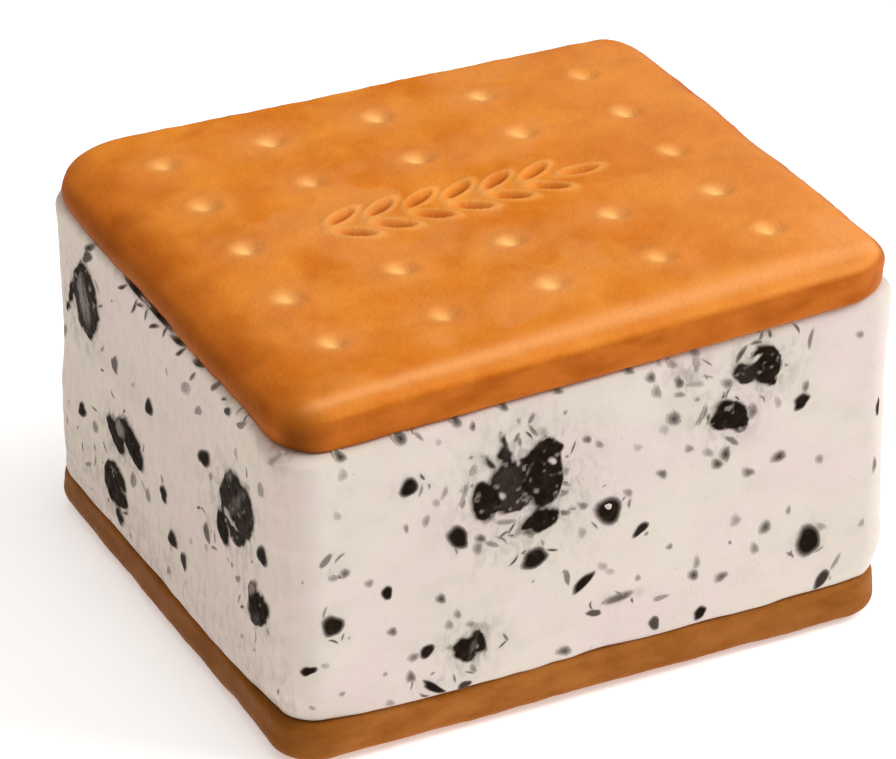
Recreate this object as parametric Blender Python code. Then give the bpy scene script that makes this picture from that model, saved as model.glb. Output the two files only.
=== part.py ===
"""An ice cream sandwich: a block of cookies and cream ice cream between two docked golden biscuits.

Metres, +Z up. The origin is under the middle of the sandwich, on the surface that it rests on. +X runs
along the longer side. The upper biscuit has settled a little crooked: it is turned, tilted and warped.
"""

import math

import bmesh
import bpy
import numpy as np
from mathutils import Matrix, Vector, noise

# Driving dimensions
LENGTH = 0.076  # of a biscuit, along X
WIDTH = 0.068  # of a biscuit, along Y
HEIGHT = 0.0459  # of the sandwich at its middle
BISCUIT_THICK = 0.0055
BISCUIT_CORNER = 0.0062  # radius of a biscuit's corners, seen from above
BISCUIT_EDGE = 0.0020  # radius of the rounded rim
CROWN = 0.0004  # how far the upper biscuit's face swells in its middle
GAP = 0.0003  # between neighbouring pieces

# How the upper biscuit lies on the ice cream
TURN = math.radians(-1.7)
SHIFT = (0.0004, -0.0001)
TILT = 0.029  # rise of its +X end, as a slope
WARP = 0.001  # two opposite corners are this much high, the other two this much low

# Docking pits: a grid of five by five, with three left out in the middle row for the stamped wheat ear
PITS_EACH_WAY = 5
PIT_PITCH = (0.0133, 0.0114)
STAMP_MIDDLE = (0.0005, 0.0014)  # of the grid and the ear, off the middle of the biscuit
PIT_RADIUS = 0.0015
PIT_BOTTOM_RADIUS = 0.0004
PIT_DEPTH = 0.0013
PIT_SIDES = 8

# The stamped wheat ear: pairs of grains along a stalk, with one grain at the tip
GRAIN_PAIRS = 6
GRAIN_SPACING = 0.0048
GRAIN_LENGTH = 0.0042
GRAIN_WIDTH = 0.0016
GRAIN_SLANT = math.radians(32)
GRAIN_OFFSET = 0.0020  # of a grain's middle from the stalk
GRAIN_DEPTH = 0.0005

# Ice cream block
BLOCK_INSET = 0.0002  # of its walls behind the biscuits' outline
BLOCK_CORNER = 0.0036
BLOCK_WAVE = 0.00025  # unevenness of its walls
BLOCK_LAYERS = 6

# Grid cells over the block and the biscuits
CELLS_X = 14
CELLS_Y = 12
CORNER_CELLS = 3  # at each end of a side, across its round corner
RIM_STEPS = 3  # in each quarter circle of a biscuit's rim

# Cookie chunks that show in the walls: name, wall, place along the wall, height, width, tall, seed. The
# place along a front or back wall is X, and along a left or right wall it is Y. In millimetres.
CHUNK_DEPTH = 0.45  # of its width
CHUNK_PROUD = 0.0002
CHUNK_ROUGHNESS = 0.3
CHUNK_FINE = 0.0085  # a wider chunk is made of smaller faces
MM = 0.001
CHUNKS = (
    ("chunk_front_cluster", "front", -9.6, 29.0, 10.6, 9.8, 3),
    ("chunk_front_high", "front", 19.8, 37.2, 5.6, 4.8, 8),
    ("chunk_front_right", "front", 16.1, 31.7, 4.5, 4.0, 21),
    ("chunk_front_low", "front", -15.9, 10.6, 4.6, 4.0, 34),
    ("chunk_left_high", "left", 22.4, 31.6, 7.4, 7.6, 5),
    ("chunk_left_twin", "left", 11.4, 19.0, 7.6, 5.4, 13),
    ("chunk_left_low", "left", 15.4, 11.4, 6.2, 5.4, 17),
    ("chunk_left_large", "left", -19.6, 26.9, 8.6, 8.0, 2),
    ("chunk_left_small", "left", -25.4, 17.2, 5.2, 4.2, 26),
    ("chunk_back_large", "back", 12.5, 25.5, 9.2, 8.2, 41),
    ("chunk_back_high", "back", -21.0, 33.0, 5.6, 5.0, 44),
    ("chunk_back_low", "back", -8.0, 13.5, 6.4, 5.2, 47),
    ("chunk_right_large", "right", -12.5, 29.5, 7.8, 8.4, 53),
    ("chunk_right_low", "right", 17.0, 15.5, 6.6, 5.6, 58),
    ("chunk_right_small", "right", 3.5, 18.5, 4.6, 4.2, 61),
)
# Outward direction of each wall, and the direction along it
WALLS = {
    "front": ((0, -1, 0), (1, 0, 0)),
    "back": ((0, 1, 0), (1, 0, 0)),
    "left": ((-1, 0, 0), (0, 1, 0)),
    "right": ((1, 0, 0), (0, 1, 0)),
}

# Colour (linear), roughness, metallic
FINISHES = {
    "biscuit": ((0.60, 0.22, 0.045), 0.55, 0.0),
    "ice_cream": ((0.80, 0.74, 0.67), 0.45, 0.0),
    "cookie": ((0.012, 0.009, 0.008), 0.7, 0.0),
}


def clear_scene():
    for obj in list(bpy.data.objects):
        bpy.data.objects.remove(obj, do_unlink=True)


def finish_of(name):
    """The material of this name, made when it is first asked for."""
    material = bpy.data.materials.get(name)
    if material is None:
        color, roughness, metallic = FINISHES[name]
        material = bpy.data.materials.new(name)
        material.use_nodes = True
        shader = material.node_tree.nodes["Principled BSDF"]
        shader.inputs["Base Color"].default_value = (*color, 1.0)
        shader.inputs["Roughness"].default_value = roughness
        shader.inputs["Metallic"].default_value = metallic
    return material


def add_object(name, bm, finish=None):
    mesh = bpy.data.meshes.new(name)
    bm.to_mesh(mesh)
    bm.free()
    obj = bpy.data.objects.new(name, mesh)
    bpy.context.scene.collection.objects.link(obj)
    if finish:
        mesh.materials.append(finish_of(finish))
    else:
        obj.hide_render = True
        obj.display_type = "WIRE"
    return obj


def points_of(mesh):
    points = np.empty(len(mesh.vertices) * 3)
    mesh.vertices.foreach_get("co", points)
    return points.reshape(-1, 3)


def set_points(mesh, points):
    mesh.vertices.foreach_set("co", np.ascontiguousarray(points, np.float32).ravel())
    mesh.update()


def apply_modifiers(obj):
    """Turns the object's evaluated mesh into its own mesh."""
    bpy.context.view_layer.update()
    graph = bpy.context.evaluated_depsgraph_get()
    mesh = bpy.data.meshes.new_from_object(obj.evaluated_get(graph))
    obj.modifiers.clear()
    obj.data = mesh


def cut(obj, cutter):
    modifier = obj.modifiers.new(cutter.name, "BOOLEAN")
    modifier.operation = "DIFFERENCE"
    modifier.solver = "EXACT"
    modifier.object = cutter
    apply_modifiers(obj)
    bpy.data.objects.remove(cutter, do_unlink=True)


def spread(cell, cells, half, corner):
    """Where a grid line lies: the outer CORNER_CELLS cells share the corner's width, and the rest share
    what lies between. It returns the side of the middle that the line is on, -1 or 1, how far it is from the
    middle before the corner begins, and how much of the corner's width it has crossed, from 0 to 1."""
    side = np.sign(cell)
    inner = cells / 2 - CORNER_CELLS
    flat = np.minimum(abs(cell), inner) / inner * (half - corner)
    into = np.maximum(abs(cell) - inner, 0) / CORNER_CELLS
    return side, flat, into


def rounded(cell_x, cell_y, half_x, half_y, corner):
    """Grid cells to points of a rectangle with round corners. In each corner's square, the point (u, v)
    goes to (u sqrt(1 - v v / 2), v sqrt(1 - u u / 2)) of the quarter disc."""
    side_x, flat_x, u = spread(cell_x, CELLS_X, half_x, corner)
    side_y, flat_y, v = spread(cell_y, CELLS_Y, half_y, corner)
    x = side_x * (flat_x + corner * u * np.sqrt(1 - v * v / 2))
    y = side_y * (flat_y + corner * v * np.sqrt(1 - u * u / 2))
    return x, y


def slab(levels):
    """A closed slab of grid cells. Each level is (height, inset, corner radius at no inset), from the
    bottom up. At no inset its outline is LENGTH by WIDTH."""
    bm = bmesh.new()
    bmesh.ops.create_grid(bm, x_segments=CELLS_X, y_segments=CELLS_Y, size=1.0)
    faces = bm.faces[:]
    for level in range(1, len(levels)):
        made = bmesh.ops.extrude_face_region(bm, geom=faces)
        if level > 1:
            bmesh.ops.delete(bm, geom=faces, context="FACES")
        faces = [item for item in made["geom"] if isinstance(item, bmesh.types.BMFace)]
        risen = {vert for face in faces for vert in face.verts}
        bmesh.ops.translate(bm, verts=list(risen), vec=(0, 0, 1))
    bmesh.ops.recalc_face_normals(bm, faces=bm.faces[:])
    for vert in bm.verts:
        height, inset, corner = levels[round(vert.co.z)]
        x, y = rounded(
            vert.co.x * CELLS_X / 2,
            vert.co.y * CELLS_Y / 2,
            LENGTH / 2 - inset,
            WIDTH / 2 - inset,
            corner - inset,
        )
        vert.co = (float(x), float(y), height)
    return bm


def rim_levels(thick, radius, corner):
    """Levels of a slab whose rim is a quarter circle at the bottom and another at the top."""
    angles = [step * math.pi / 2 / RIM_STEPS for step in range(RIM_STEPS + 1)]
    low = [(radius - radius * math.sin(a), radius - radius * math.cos(a), corner) for a in reversed(angles)]
    high = [(thick - height, inset, corner) for height, inset, _ in reversed(low)]
    return low + high


def pit_places():
    """(x, y) of each docking pit. The middle row keeps only its two ends, which leaves room for the ear."""
    reach = PITS_EACH_WAY // 2
    for column in range(-reach, reach + 1):
        for row in range(-reach, reach + 1):
            if row or abs(column) == reach:
                yield column * PIT_PITCH[0], row * PIT_PITCH[1]


def grain_places():
    """(x, y, slant) of each grain of the stamped ear, from its foot to its tip."""
    start = -GRAIN_SPACING * GRAIN_PAIRS / 2
    for pair in range(GRAIN_PAIRS):
        for side in (-1, 1):
            yield start + pair * GRAIN_SPACING, side * GRAIN_OFFSET, side * GRAIN_SLANT
    yield start + GRAIN_PAIRS * GRAIN_SPACING, 0.0, 0.0


def face_cutter():
    """The docking pits and the ear's grains, as one mesh of separate closed shapes. A pit's cone stands as
    far above the face as it reaches into it, so it is PIT_RADIUS wide at the face."""
    middle = Matrix.Translation((*STAMP_MIDDLE, BISCUIT_THICK))
    bm = bmesh.new()
    for x, y in pit_places():
        bmesh.ops.create_cone(
            bm,
            cap_ends=True,
            segments=PIT_SIDES,
            radius1=PIT_BOTTOM_RADIUS,
            radius2=2 * PIT_RADIUS - PIT_BOTTOM_RADIUS,
            depth=2 * PIT_DEPTH,
            matrix=middle @ Matrix.Translation((x, y, 0)),
        )
    for x, y, slant in grain_places():
        bmesh.ops.create_uvsphere(
            bm,
            u_segments=8,
            v_segments=4,
            radius=1.0,
            matrix=middle
            @ Matrix.Translation((x, y, 0))
            @ Matrix.Rotation(slant, 4, "Z")
            @ Matrix.Diagonal((GRAIN_LENGTH / 2, GRAIN_WIDTH / 2, GRAIN_DEPTH, 1)),
        )
    return add_object("face_cutter", bm)


def biscuit(name):
    """A biscuit lying flat, with its stamped face up and its underside at z = 0."""
    obj = add_object(name, slab(rim_levels(BISCUIT_THICK, BISCUIT_EDGE, BISCUIT_CORNER)), "biscuit")
    cut(obj, face_cutter())
    return obj


def lift(x, y):
    """How much higher than its middle the upper biscuit lies at (x, y)."""
    return TILT * x - WARP * x * y / (LENGTH * WIDTH / 4)


def lay_upper(obj):
    """Swells the face, then turns, tilts and warps the biscuit onto the ice cream."""
    x, y, z = points_of(obj.data).T
    swell = CROWN * np.clip(1 - (2 * x / LENGTH) ** 2, 0, 1) * np.clip(1 - (2 * y / WIDTH) ** 2, 0, 1)
    z = z + swell * z / BISCUIT_THICK
    turned_x = x * math.cos(TURN) - y * math.sin(TURN) + SHIFT[0]
    turned_y = x * math.sin(TURN) + y * math.cos(TURN) + SHIFT[1]
    set_points(
        obj.data,
        np.stack([turned_x, turned_y, z + HEIGHT - BISCUIT_THICK + lift(turned_x, turned_y)], axis=1),
    )


def lay_lower(obj):
    """Rolls the biscuit over, so that its stamped face is the one it rests on."""
    x, y, z = points_of(obj.data).T
    set_points(obj.data, np.stack([x, -y, BISCUIT_THICK - z], axis=1))


def ice_cream():
    """The block, from the lower biscuit up to the underside of the upper one, with uneven walls."""
    low = BISCUIT_THICK + GAP
    high = HEIGHT - BISCUIT_THICK - GAP
    levels = [
        (low + (high - low) * layer / BLOCK_LAYERS, BLOCK_INSET, BLOCK_CORNER + BLOCK_INSET)
        for layer in range(BLOCK_LAYERS + 1)
    ]
    obj = add_object("ice_cream", slab(levels), "ice_cream")
    x, y, z = points_of(obj.data).T
    wave = 1 + BLOCK_WAVE * (np.sin(190 * x + 260 * z + 1) + np.cos(230 * y - 310 * z)) / LENGTH
    rise = (z - low) / (high - low) * lift(x, y)
    set_points(obj.data, np.stack([x * wave, y * wave, z + rise], axis=1))
    return obj


def chunk_shape(wall, along, height, width, tall, seed, grow, outermost):
    """A lump whose radius varies with direction by noise, with its outer side cut off at outermost."""
    outward, sideways = (Vector(axis) for axis in WALLS[wall])
    half = LENGTH / 2 if outward.x else WIDTH / 2
    depth = CHUNK_DEPTH * width
    centre = outward * (half - BLOCK_INSET - depth / 3) + sideways * along
    centre.z = height
    bm = bmesh.new()
    bmesh.ops.create_icosphere(bm, subdivisions=3 if width > CHUNK_FINE else 2, radius=1.0)
    for vert in bm.verts:
        way = vert.co.normalized()
        lump = 1 + CHUNK_ROUGHNESS * noise.noise(way * 1.7 + Vector((seed, 0, 0)))
        offset = (
            sideways * way.x * (width / 2 * lump + grow)
            + outward * way.y * (depth * lump + grow)
            + Vector((0, 0, way.z * (tall / 2 * lump + grow)))
        )
        vert.co = centre + offset
        over = vert.co.dot(outward) - (half - BLOCK_INSET + outermost)
        if over > 0:
            vert.co -= outward * over
    if sideways.cross(outward).z < 0:
        bmesh.ops.reverse_faces(bm, faces=bm.faces[:])
    return bm


def set_chunks(block):
    """Sinks each cookie chunk in a socket of the block's wall, all but flush with it."""
    made = []
    for name, wall, *sizes, seed in CHUNKS:
        sizes = [size * MM for size in sizes]
        socket = chunk_shape(wall, *sizes, seed, GAP, LENGTH)
        cut(block, add_object("socket", socket))
        made.append(add_object(name, chunk_shape(wall, *sizes, seed, 0.0, CHUNK_PROUD), "cookie"))
    return made


def centre_on_origin(objects):
    """Moves the meshes so that the origin is under the middle of their common box."""
    everything = np.concatenate([points_of(obj.data) for obj in objects])
    low, high = everything.min(axis=0), everything.max(axis=0)
    middle = np.array([(low[0] + high[0]) / 2, (low[1] + high[1]) / 2, low[2]])
    for obj in objects:
        set_points(obj.data, points_of(obj.data) - middle)


def main():
    clear_scene()
    lower = biscuit("biscuit_bottom")
    lay_lower(lower)
    block = ice_cream()
    chunks = set_chunks(block)
    upper = biscuit("biscuit_top")
    lay_upper(upper)
    centre_on_origin([lower, block, upper, *chunks])


main()
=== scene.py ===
"""The looks of an ice cream sandwich: two docked golden biscuits round a block of cookies and cream.

Every surface is worked out with numpy. Sizes are in metres, written as millimetres times MM.
"""

import math

import bpy
import numpy as np
from mathutils import Euler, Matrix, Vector


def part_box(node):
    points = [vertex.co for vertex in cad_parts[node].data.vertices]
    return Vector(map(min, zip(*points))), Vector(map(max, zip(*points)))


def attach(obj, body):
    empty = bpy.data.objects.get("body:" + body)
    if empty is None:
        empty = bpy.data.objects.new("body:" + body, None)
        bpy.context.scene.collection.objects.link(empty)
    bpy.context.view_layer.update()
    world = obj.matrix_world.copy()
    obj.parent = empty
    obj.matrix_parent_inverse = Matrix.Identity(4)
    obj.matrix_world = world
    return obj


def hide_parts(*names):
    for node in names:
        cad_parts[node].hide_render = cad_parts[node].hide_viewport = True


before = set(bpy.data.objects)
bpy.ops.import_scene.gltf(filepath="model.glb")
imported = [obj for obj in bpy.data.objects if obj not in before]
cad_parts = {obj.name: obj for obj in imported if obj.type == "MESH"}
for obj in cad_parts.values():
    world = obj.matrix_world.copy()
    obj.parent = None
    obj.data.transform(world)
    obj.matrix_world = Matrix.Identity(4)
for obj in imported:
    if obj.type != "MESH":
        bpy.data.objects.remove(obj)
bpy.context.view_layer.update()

MM = 0.001
BODY = "root"

# ------------------------------------------------------------------ sizes, from the frame where it has them

LOWER_LOW, LOWER_HIGH = (np.array(corner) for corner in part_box("biscuit_bottom"))
MIDDLE = (LOWER_LOW + LOWER_HIGH) / 2  # of the lower biscuit, which everything stands on
LENGTH, WIDTH, BISCUIT_THICK = LOWER_HIGH - LOWER_LOW
HEIGHT = 45.9 * MM  # of the sandwich at its middle
UPPER_FLOOR = HEIGHT - BISCUIT_THICK  # the upper biscuit's underside at its middle

# How the upper biscuit lies on the ice cream, as in the solids
TURN = math.radians(-1.7)
SHIFT = (0.4 * MM, -0.1 * MM)
TILT = 0.029
WARP = 1.0 * MM

# Radii of the corners seen from above: front left, front right, back right, back left
UPPER_CORNERS = np.array((6.2, 7.4, 5.6, 9.6)) * MM
LOWER_CORNERS = np.array((5.4, 5.0, 5.0, 4.6)) * MM
UPPER_THICKNESS = 0.92  # of the upper biscuit, as a part of its solid's
UPPER_SKEW = 0.034  # how far its left side leans to the left, for each step to the back
UPPER_RIGHT_REACH = 0.25 * MM  # how much further out its right side stands
UPPER_THINNING = (0.8 * MM, 1.5 * MM)  # how much it thins at its back left corner, from above and from below
BLOCK_CORNERS = np.array((4.4, 3.5, 4.0, 6.2)) * MM

# The stamped face, as in the solids
PIT_PITCH = (13.3 * MM, 11.4 * MM)
STAMP_MIDDLE = (0.5 * MM, 1.4 * MM)
PITS_EACH_WAY = 5
PIT_JITTER = 0.22 * MM
GRAIN_PAIRS = 6
GRAIN_SPACING = 4.8 * MM
GRAIN_LENGTH = 4.2 * MM
GRAIN_WIDTH = 1.6 * MM
GRAIN_SLANT = math.radians(32)
GRAIN_OFFSET = 2.0 * MM
GRAIN_DEPTH = 0.8 * MM
GRAIN_LIP = 0.2 * MM


def lift(x, y):
    """How much higher than its middle the upper biscuit lies at (x, y): a slope along X less a twist x y."""
    return TILT * x - WARP * x * y / (LENGTH * WIDTH / 4)


# ------------------------------------------------------------------ smooth random numbers

LATTICE_SIDE = 32
LATTICE = np.random.default_rng(5).random((LATTICE_SIDE,) * 3)


def noise(points, size, seed=0):
    """Smooth numbers from -1 to 1. Random values stand on a cubic lattice whose cells are `size` wide, and
    between them they are blended along each axis by the curve s s (3 - 2 s)."""
    grid = np.asarray(points) / size + np.array((17.31, 5.17, 9.73)) * (seed + 1)
    cell = np.floor(grid).astype(int)
    part = grid - cell
    part = part * part * (3 - 2 * part)
    total = 0.0
    for corner in np.ndindex(2, 2, 2):
        at = (cell + corner) % LATTICE_SIDE
        weight = np.where(np.array(corner, bool), part, 1 - part).prod(axis=-1)
        total = total + weight * LATTICE[at[..., 0], at[..., 1], at[..., 2]]
    return 2 * total - 1


def layered(points, size, layers=3, seed=0):
    """Noise of several sizes, each half as wide and half as strong as the one before."""
    return sum(noise(points, size / 2**layer, seed + 7 * layer) / 2**layer for layer in range(layers))


def ease(x):
    """0 below 0, 1 above 1, and the curve x x (3 - 2 x) between."""
    x = np.clip(x, 0, 1)
    return x * x * (3 - 2 * x)


# ------------------------------------------------------------------ meshes


def sheet(numbers):
    """The quads of an open grid of point numbers, seen from the side where they run anticlockwise."""
    corners = numbers[:-1, :-1], numbers[:-1, 1:], numbers[1:, 1:], numbers[1:, :-1]
    return np.stack(corners, axis=-1).reshape(-1, 4)


def band(rings):
    """The quads between closed rings of point numbers, which run anticlockwise and each above the last."""
    return sheet(np.concatenate([rings, rings[..., :1]], axis=-1))


def cap(ring, middle, up=True):
    """The triangles between a closed ring of point numbers and one middle point, facing up or down."""
    beside = np.roll(ring, -1)
    first, second = (ring, beside) if up else (beside, ring)
    return np.stack([first, second, np.full_like(ring, middle)], axis=-1)


def border(numbers):
    """The numbers round the edge of an open grid, anticlockwise from its first."""
    return np.concatenate([numbers[0, :-1], numbers[:-1, -1], numbers[-1, :0:-1], numbers[:0:-1, 0]])


def add_piece(name, points, faces, paint, layers, replaced=()):
    """One smooth object made of points and groups of faces, with a float attribute for each layer."""
    mesh = bpy.data.meshes.new(name)
    sizes = np.concatenate([np.full(len(group), group.shape[1]) for group in faces])
    corners = np.concatenate([group.ravel() for group in faces])
    mesh.vertices.add(len(points))
    mesh.vertices.foreach_set("co", np.ascontiguousarray(points, np.float32).ravel())
    mesh.loops.add(len(corners))
    mesh.loops.foreach_set("vertex_index", corners.astype(np.int32))
    mesh.polygons.add(len(sizes))
    mesh.polygons.foreach_set("loop_start", (np.cumsum(sizes) - sizes).astype(np.int32))
    mesh.polygons.foreach_set("use_smooth", np.ones(len(sizes), bool))
    for layer, values in layers.items():
        attribute = mesh.attributes.new(layer, "FLOAT", "POINT")
        attribute.data.foreach_set("value", np.ascontiguousarray(values, np.float32))
    mesh.update(calc_edges=True)
    mesh.materials.append(paint)
    piece = bpy.data.objects.new(name, mesh)
    bpy.context.scene.collection.objects.link(piece)
    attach(piece, BODY)
    if replaced:
        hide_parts(*replaced)


# ------------------------------------------------------------------ paints


class Value:
    """A socket of a node. Python's operators on it add the Math nodes that they need."""

    def __init__(self, paint, socket):
        self.paint = paint
        self.socket = socket

    def math(self, operation, *terms):
        return self.paint.node("ShaderNodeMath", {"operation": operation}, dict(enumerate(terms)))

    def __add__(self, other):
        return self.math("ADD", self, other)

    def __sub__(self, other):
        return self.math("SUBTRACT", self, other)

    def __rsub__(self, other):
        return self.math("SUBTRACT", other, self)

    def __mul__(self, other):
        return self.math("MULTIPLY", self, other)

    __radd__ = __add__
    __rmul__ = __mul__


class Paint:
    """A material in the making. It ends in one Principled shader, whose constants are given by name."""

    def __init__(self, name, **constants):
        self.material = bpy.data.materials.new(name)
        self.material.use_nodes = True
        self.tree = self.material.node_tree
        self.tree.nodes.clear()
        self.place = self.node("ShaderNodeTexCoord", output="Object")
        self.constants = {socket.replace("_", " "): value for socket, value in constants.items()}

    def node(self, kind, settings=None, inputs=None, output=0):
        """Adds a node: first its settings, then the values or links of its sockets. Returns one output."""
        made = self.tree.nodes.new(kind)
        for name, value in (settings or {}).items():
            setattr(made, name, value)
        for socket, value in (inputs or {}).items():
            if isinstance(value, Value):
                self.tree.links.new(value.socket, made.inputs[socket])
            else:
                made.inputs[socket].default_value = value
        return Value(self, made.outputs[output]) if made.outputs else None

    def layer(self, name):
        """A float attribute of the piece."""
        return self.node("ShaderNodeAttribute", {"attribute_name": name}, output="Fac")

    def blotches(self, size, detail=2.0, stretch=(1, 1, 1), distortion=0.0):
        """Noise from 0 to 1 whose spots are `size` wide, and longer along an axis that is stretched."""
        scaled = self.node("ShaderNodeVectorMath", {"operation": "DIVIDE"}, {0: self.place, 1: stretch})
        sockets = {"Vector": scaled, "Scale": 1 / size, "Detail": detail, "Distortion": distortion}
        return self.node("ShaderNodeTexNoise", {"normalize": True}, sockets)

    def fade(self, value, low, high):
        """0 where the value is at `low`, 1 where it is at `high`, and a smooth curve between."""
        sockets = {"Value": value, "From Min": low, "From Max": high, "To Min": 0.0, "To Max": 1.0}
        return self.node("ShaderNodeMapRange", {"interpolation_type": "SMOOTHSTEP"}, sockets)

    def mix(self, factor, first, second):
        """A colour between two colours."""
        sockets = {"Factor": factor, 6: first, 7: second}
        for socket, colour in ((6, first), (7, second)):
            if not isinstance(colour, Value):
                sockets[socket] = (*colour, 1.0)
        return self.node("ShaderNodeMix", {"data_type": "RGBA"}, sockets, output=2)

    def finish(self, colour, roughness, height, depth):
        """Ends the material with its colour, its roughness and a bump, of which a height of 1 is `depth`."""
        bump = self.node("ShaderNodeBump", inputs={"Height": height, "Distance": depth})
        sockets = {**self.constants, "Base Color": colour, "Roughness": roughness, "Normal": bump}
        shader = self.node("ShaderNodeBsdfPrincipled", inputs=sockets)
        self.node("ShaderNodeOutputMaterial", inputs={"Surface": shader})
        return self.material


# The colour of glaze, which the glaze layer also uses for painted highlights and painted light
GLAZE_AND_HIGHLIGHT = (0.95, 0.39, 0.12)
PALE_DOUGH_AND_HIGHLIGHT = (1.0, 0.54, 0.17)  # where the pins kept the dough pale, and a painted highlight on the lit bank of each pin hole


def biscuit_paint(name, golden, amber, crust_and_shade, dark_crust_and_shade, burnt_and_shade):
    """Baked dough, golden with amber blotches. The glaze layer makes it rosier, both where it is glazed and
    where it carries painted highlights and painted light; then the bake layer browner with streaks round its
    side, both where it baked and where it carries painted shade; the scorch layer darker still, for scorch
    marks and for painted shade; and the pale layer as light as where the pins pressed it, and as light as
    the painted highlights on the pits' lit banks."""
    paint = Paint(name, Specular_IOR_Level=0.04)
    patches = paint.fade(paint.blotches(9 * MM, detail=3.0, distortion=0.4), 0.32, 0.68)
    grain = paint.fade(paint.blotches(1.4 * MM, detail=4.0), 0.3, 0.7)
    face = paint.mix(patches * 0.85 + grain * 0.15, golden, amber)
    rosy = paint.mix(paint.layer("glaze_and_highlight"), face, GLAZE_AND_HIGHLIGHT)
    streaks = paint.fade(paint.blotches(3.0 * MM, detail=3.0, stretch=(1.9, 1.9, 0.8)), 0.3, 0.78)
    side = paint.mix(streaks, crust_and_shade, dark_crust_and_shade)
    browned_and_shaded = paint.mix(paint.layer("bake_and_shade"), rosy, side)
    scorched_and_shaded = paint.mix(paint.layer("scorch_and_shade"), browned_and_shaded, burnt_and_shade)
    colour = paint.mix(paint.layer("pale"), scorched_and_shaded, PALE_DOUGH_AND_HIGHLIGHT)
    pores = paint.fade(paint.blotches(0.55 * MM, detail=3.0), 0.25, 0.6)
    roughness = 0.36 + paint.blotches(2.5 * MM) * 0.2
    return paint.finish(colour, roughness, pores, 0.035 * MM)


def cream(paint):
    """The cream's colour: warm white in yellowish and pinkish clouds, under faint grey veils."""
    clouds = paint.fade(paint.blotches(9 * MM, detail=3.0, distortion=0.3), 0.36, 0.64)
    warm = paint.mix(clouds, (0.70, 0.628, 0.545), (0.713, 0.60, 0.56))
    veils = paint.fade(paint.blotches(3.6 * MM, detail=3.0, stretch=(1.6, 1.6, 0.8)), 0.45, 0.78)
    return paint.mix(veils * 0.45, warm, (0.60, 0.55, 0.47))


def smeared_and_shaded_cream(paint):
    """The cream with a fine dust of cookie, and grey feathers where the smear layer is strong: where cookie
    was dragged through it, and on the left wall, where the layer carries painted shade."""
    dust = paint.fade(paint.blotches(0.75 * MM, detail=2.0), 0.7, 0.8)
    dusted = paint.mix(dust * 0.4, cream(paint), (0.33, 0.30, 0.26))
    feathers = paint.blotches(1.3 * MM, detail=3.0, stretch=(0.8, 0.8, 1.4), distortion=0.6)
    smear = paint.layer("smear") * (0.2 + paint.fade(feathers, 0.42, 0.68) * 0.8)
    return paint.mix(smear, dusted, (0.13, 0.12, 0.10))


def ice_cream_paint():
    """Vanilla ice cream: smeared cream that lets a little light in."""
    paint = Paint(
        "ice_cream",
        Specular_IOR_Level=0.25,
        Subsurface_Weight=0.15,
        Subsurface_Scale=0.0015,
        Subsurface_Radius=(1.0, 0.85, 0.7),
    )
    crystals = paint.blotches(0.9 * MM, detail=3.0)
    roughness = 0.42 + paint.blotches(3 * MM) * 0.2
    return paint.finish(smeared_and_shaded_cream(paint), roughness, crystals, 0.05 * MM)


def cookie_paint():
    """Dark cocoa cookie, soaked nearly black. The layer `film` says how far the cream covers it."""
    paint = Paint("cookie", Specular_IOR_Level=0.04)
    patches = paint.fade(paint.blotches(1.3 * MM, detail=4.0), 0.42, 0.78)
    dark = paint.mix(patches, (0.009, 0.0045, 0.002), (0.024, 0.014, 0.008))
    film = paint.layer("film")
    covered = paint.mix(film, dark, smeared_and_shaded_cream(paint))
    crumb = paint.blotches(0.35 * MM, detail=3.0)
    roughness = 0.55 + crumb * 0.3
    return paint.finish(covered, roughness, crumb * (1 - film), 0.05 * MM)


def floor_paint():
    """A plain white tabletop with the faintest unevenness."""
    paint = Paint("floor", Emission_Color=(1.0, 1.0, 1.0, 1.0), Emission_Strength=0.40)
    tone = paint.blotches(60 * MM)
    colour = paint.mix(tone, (0.93, 0.93, 0.93), (0.95, 0.95, 0.95))
    return paint.finish(colour, 0.6 + tone * 0.1, tone, 0.01 * MM)


# ------------------------------------------------------------------ the biscuits

FACE_CELL = 0.3 * MM
RIM_LEAN = 0.2 * MM  # how much further out the side is at the shoulder than at the foot
FACE_EDGE = BISCUIT_THICK - 0.1 * MM  # height of the stamped face along its edge
SHOULDER_FLOOR = 4.1 * MM  # height where the crust of the side begins to thin out toward the face
CROWN_POWER = 5
FACE_SWELL = 0.21 * MM
FACE_GRAIN = 0.06 * MM

# The rows are how far a rim reaches out from the stamped face, how high its round shoulder is, the power of
# the shoulder's curve, where 2 is an ellipse, and the radius of its lower edge. The columns are the rim at
# the left, at the right, and at the front and back.
RIM_UNITS = np.array(((MM,), (MM,), (1,), (MM,)))
UPPER_RIM = RIM_UNITS * ((4.4, 4.2, 1.6), (3.3, 3.1, 1.3), (2.0, 2.1, 2.4), (1.8, 1.2, 0.8))
LOWER_RIM = RIM_UNITS * ((2.9, 2.9, 2.3), (2.4, 2.4, 1.9), (2.5, 2.5, 2.6), (0.8, 0.8, 0.8))


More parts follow.
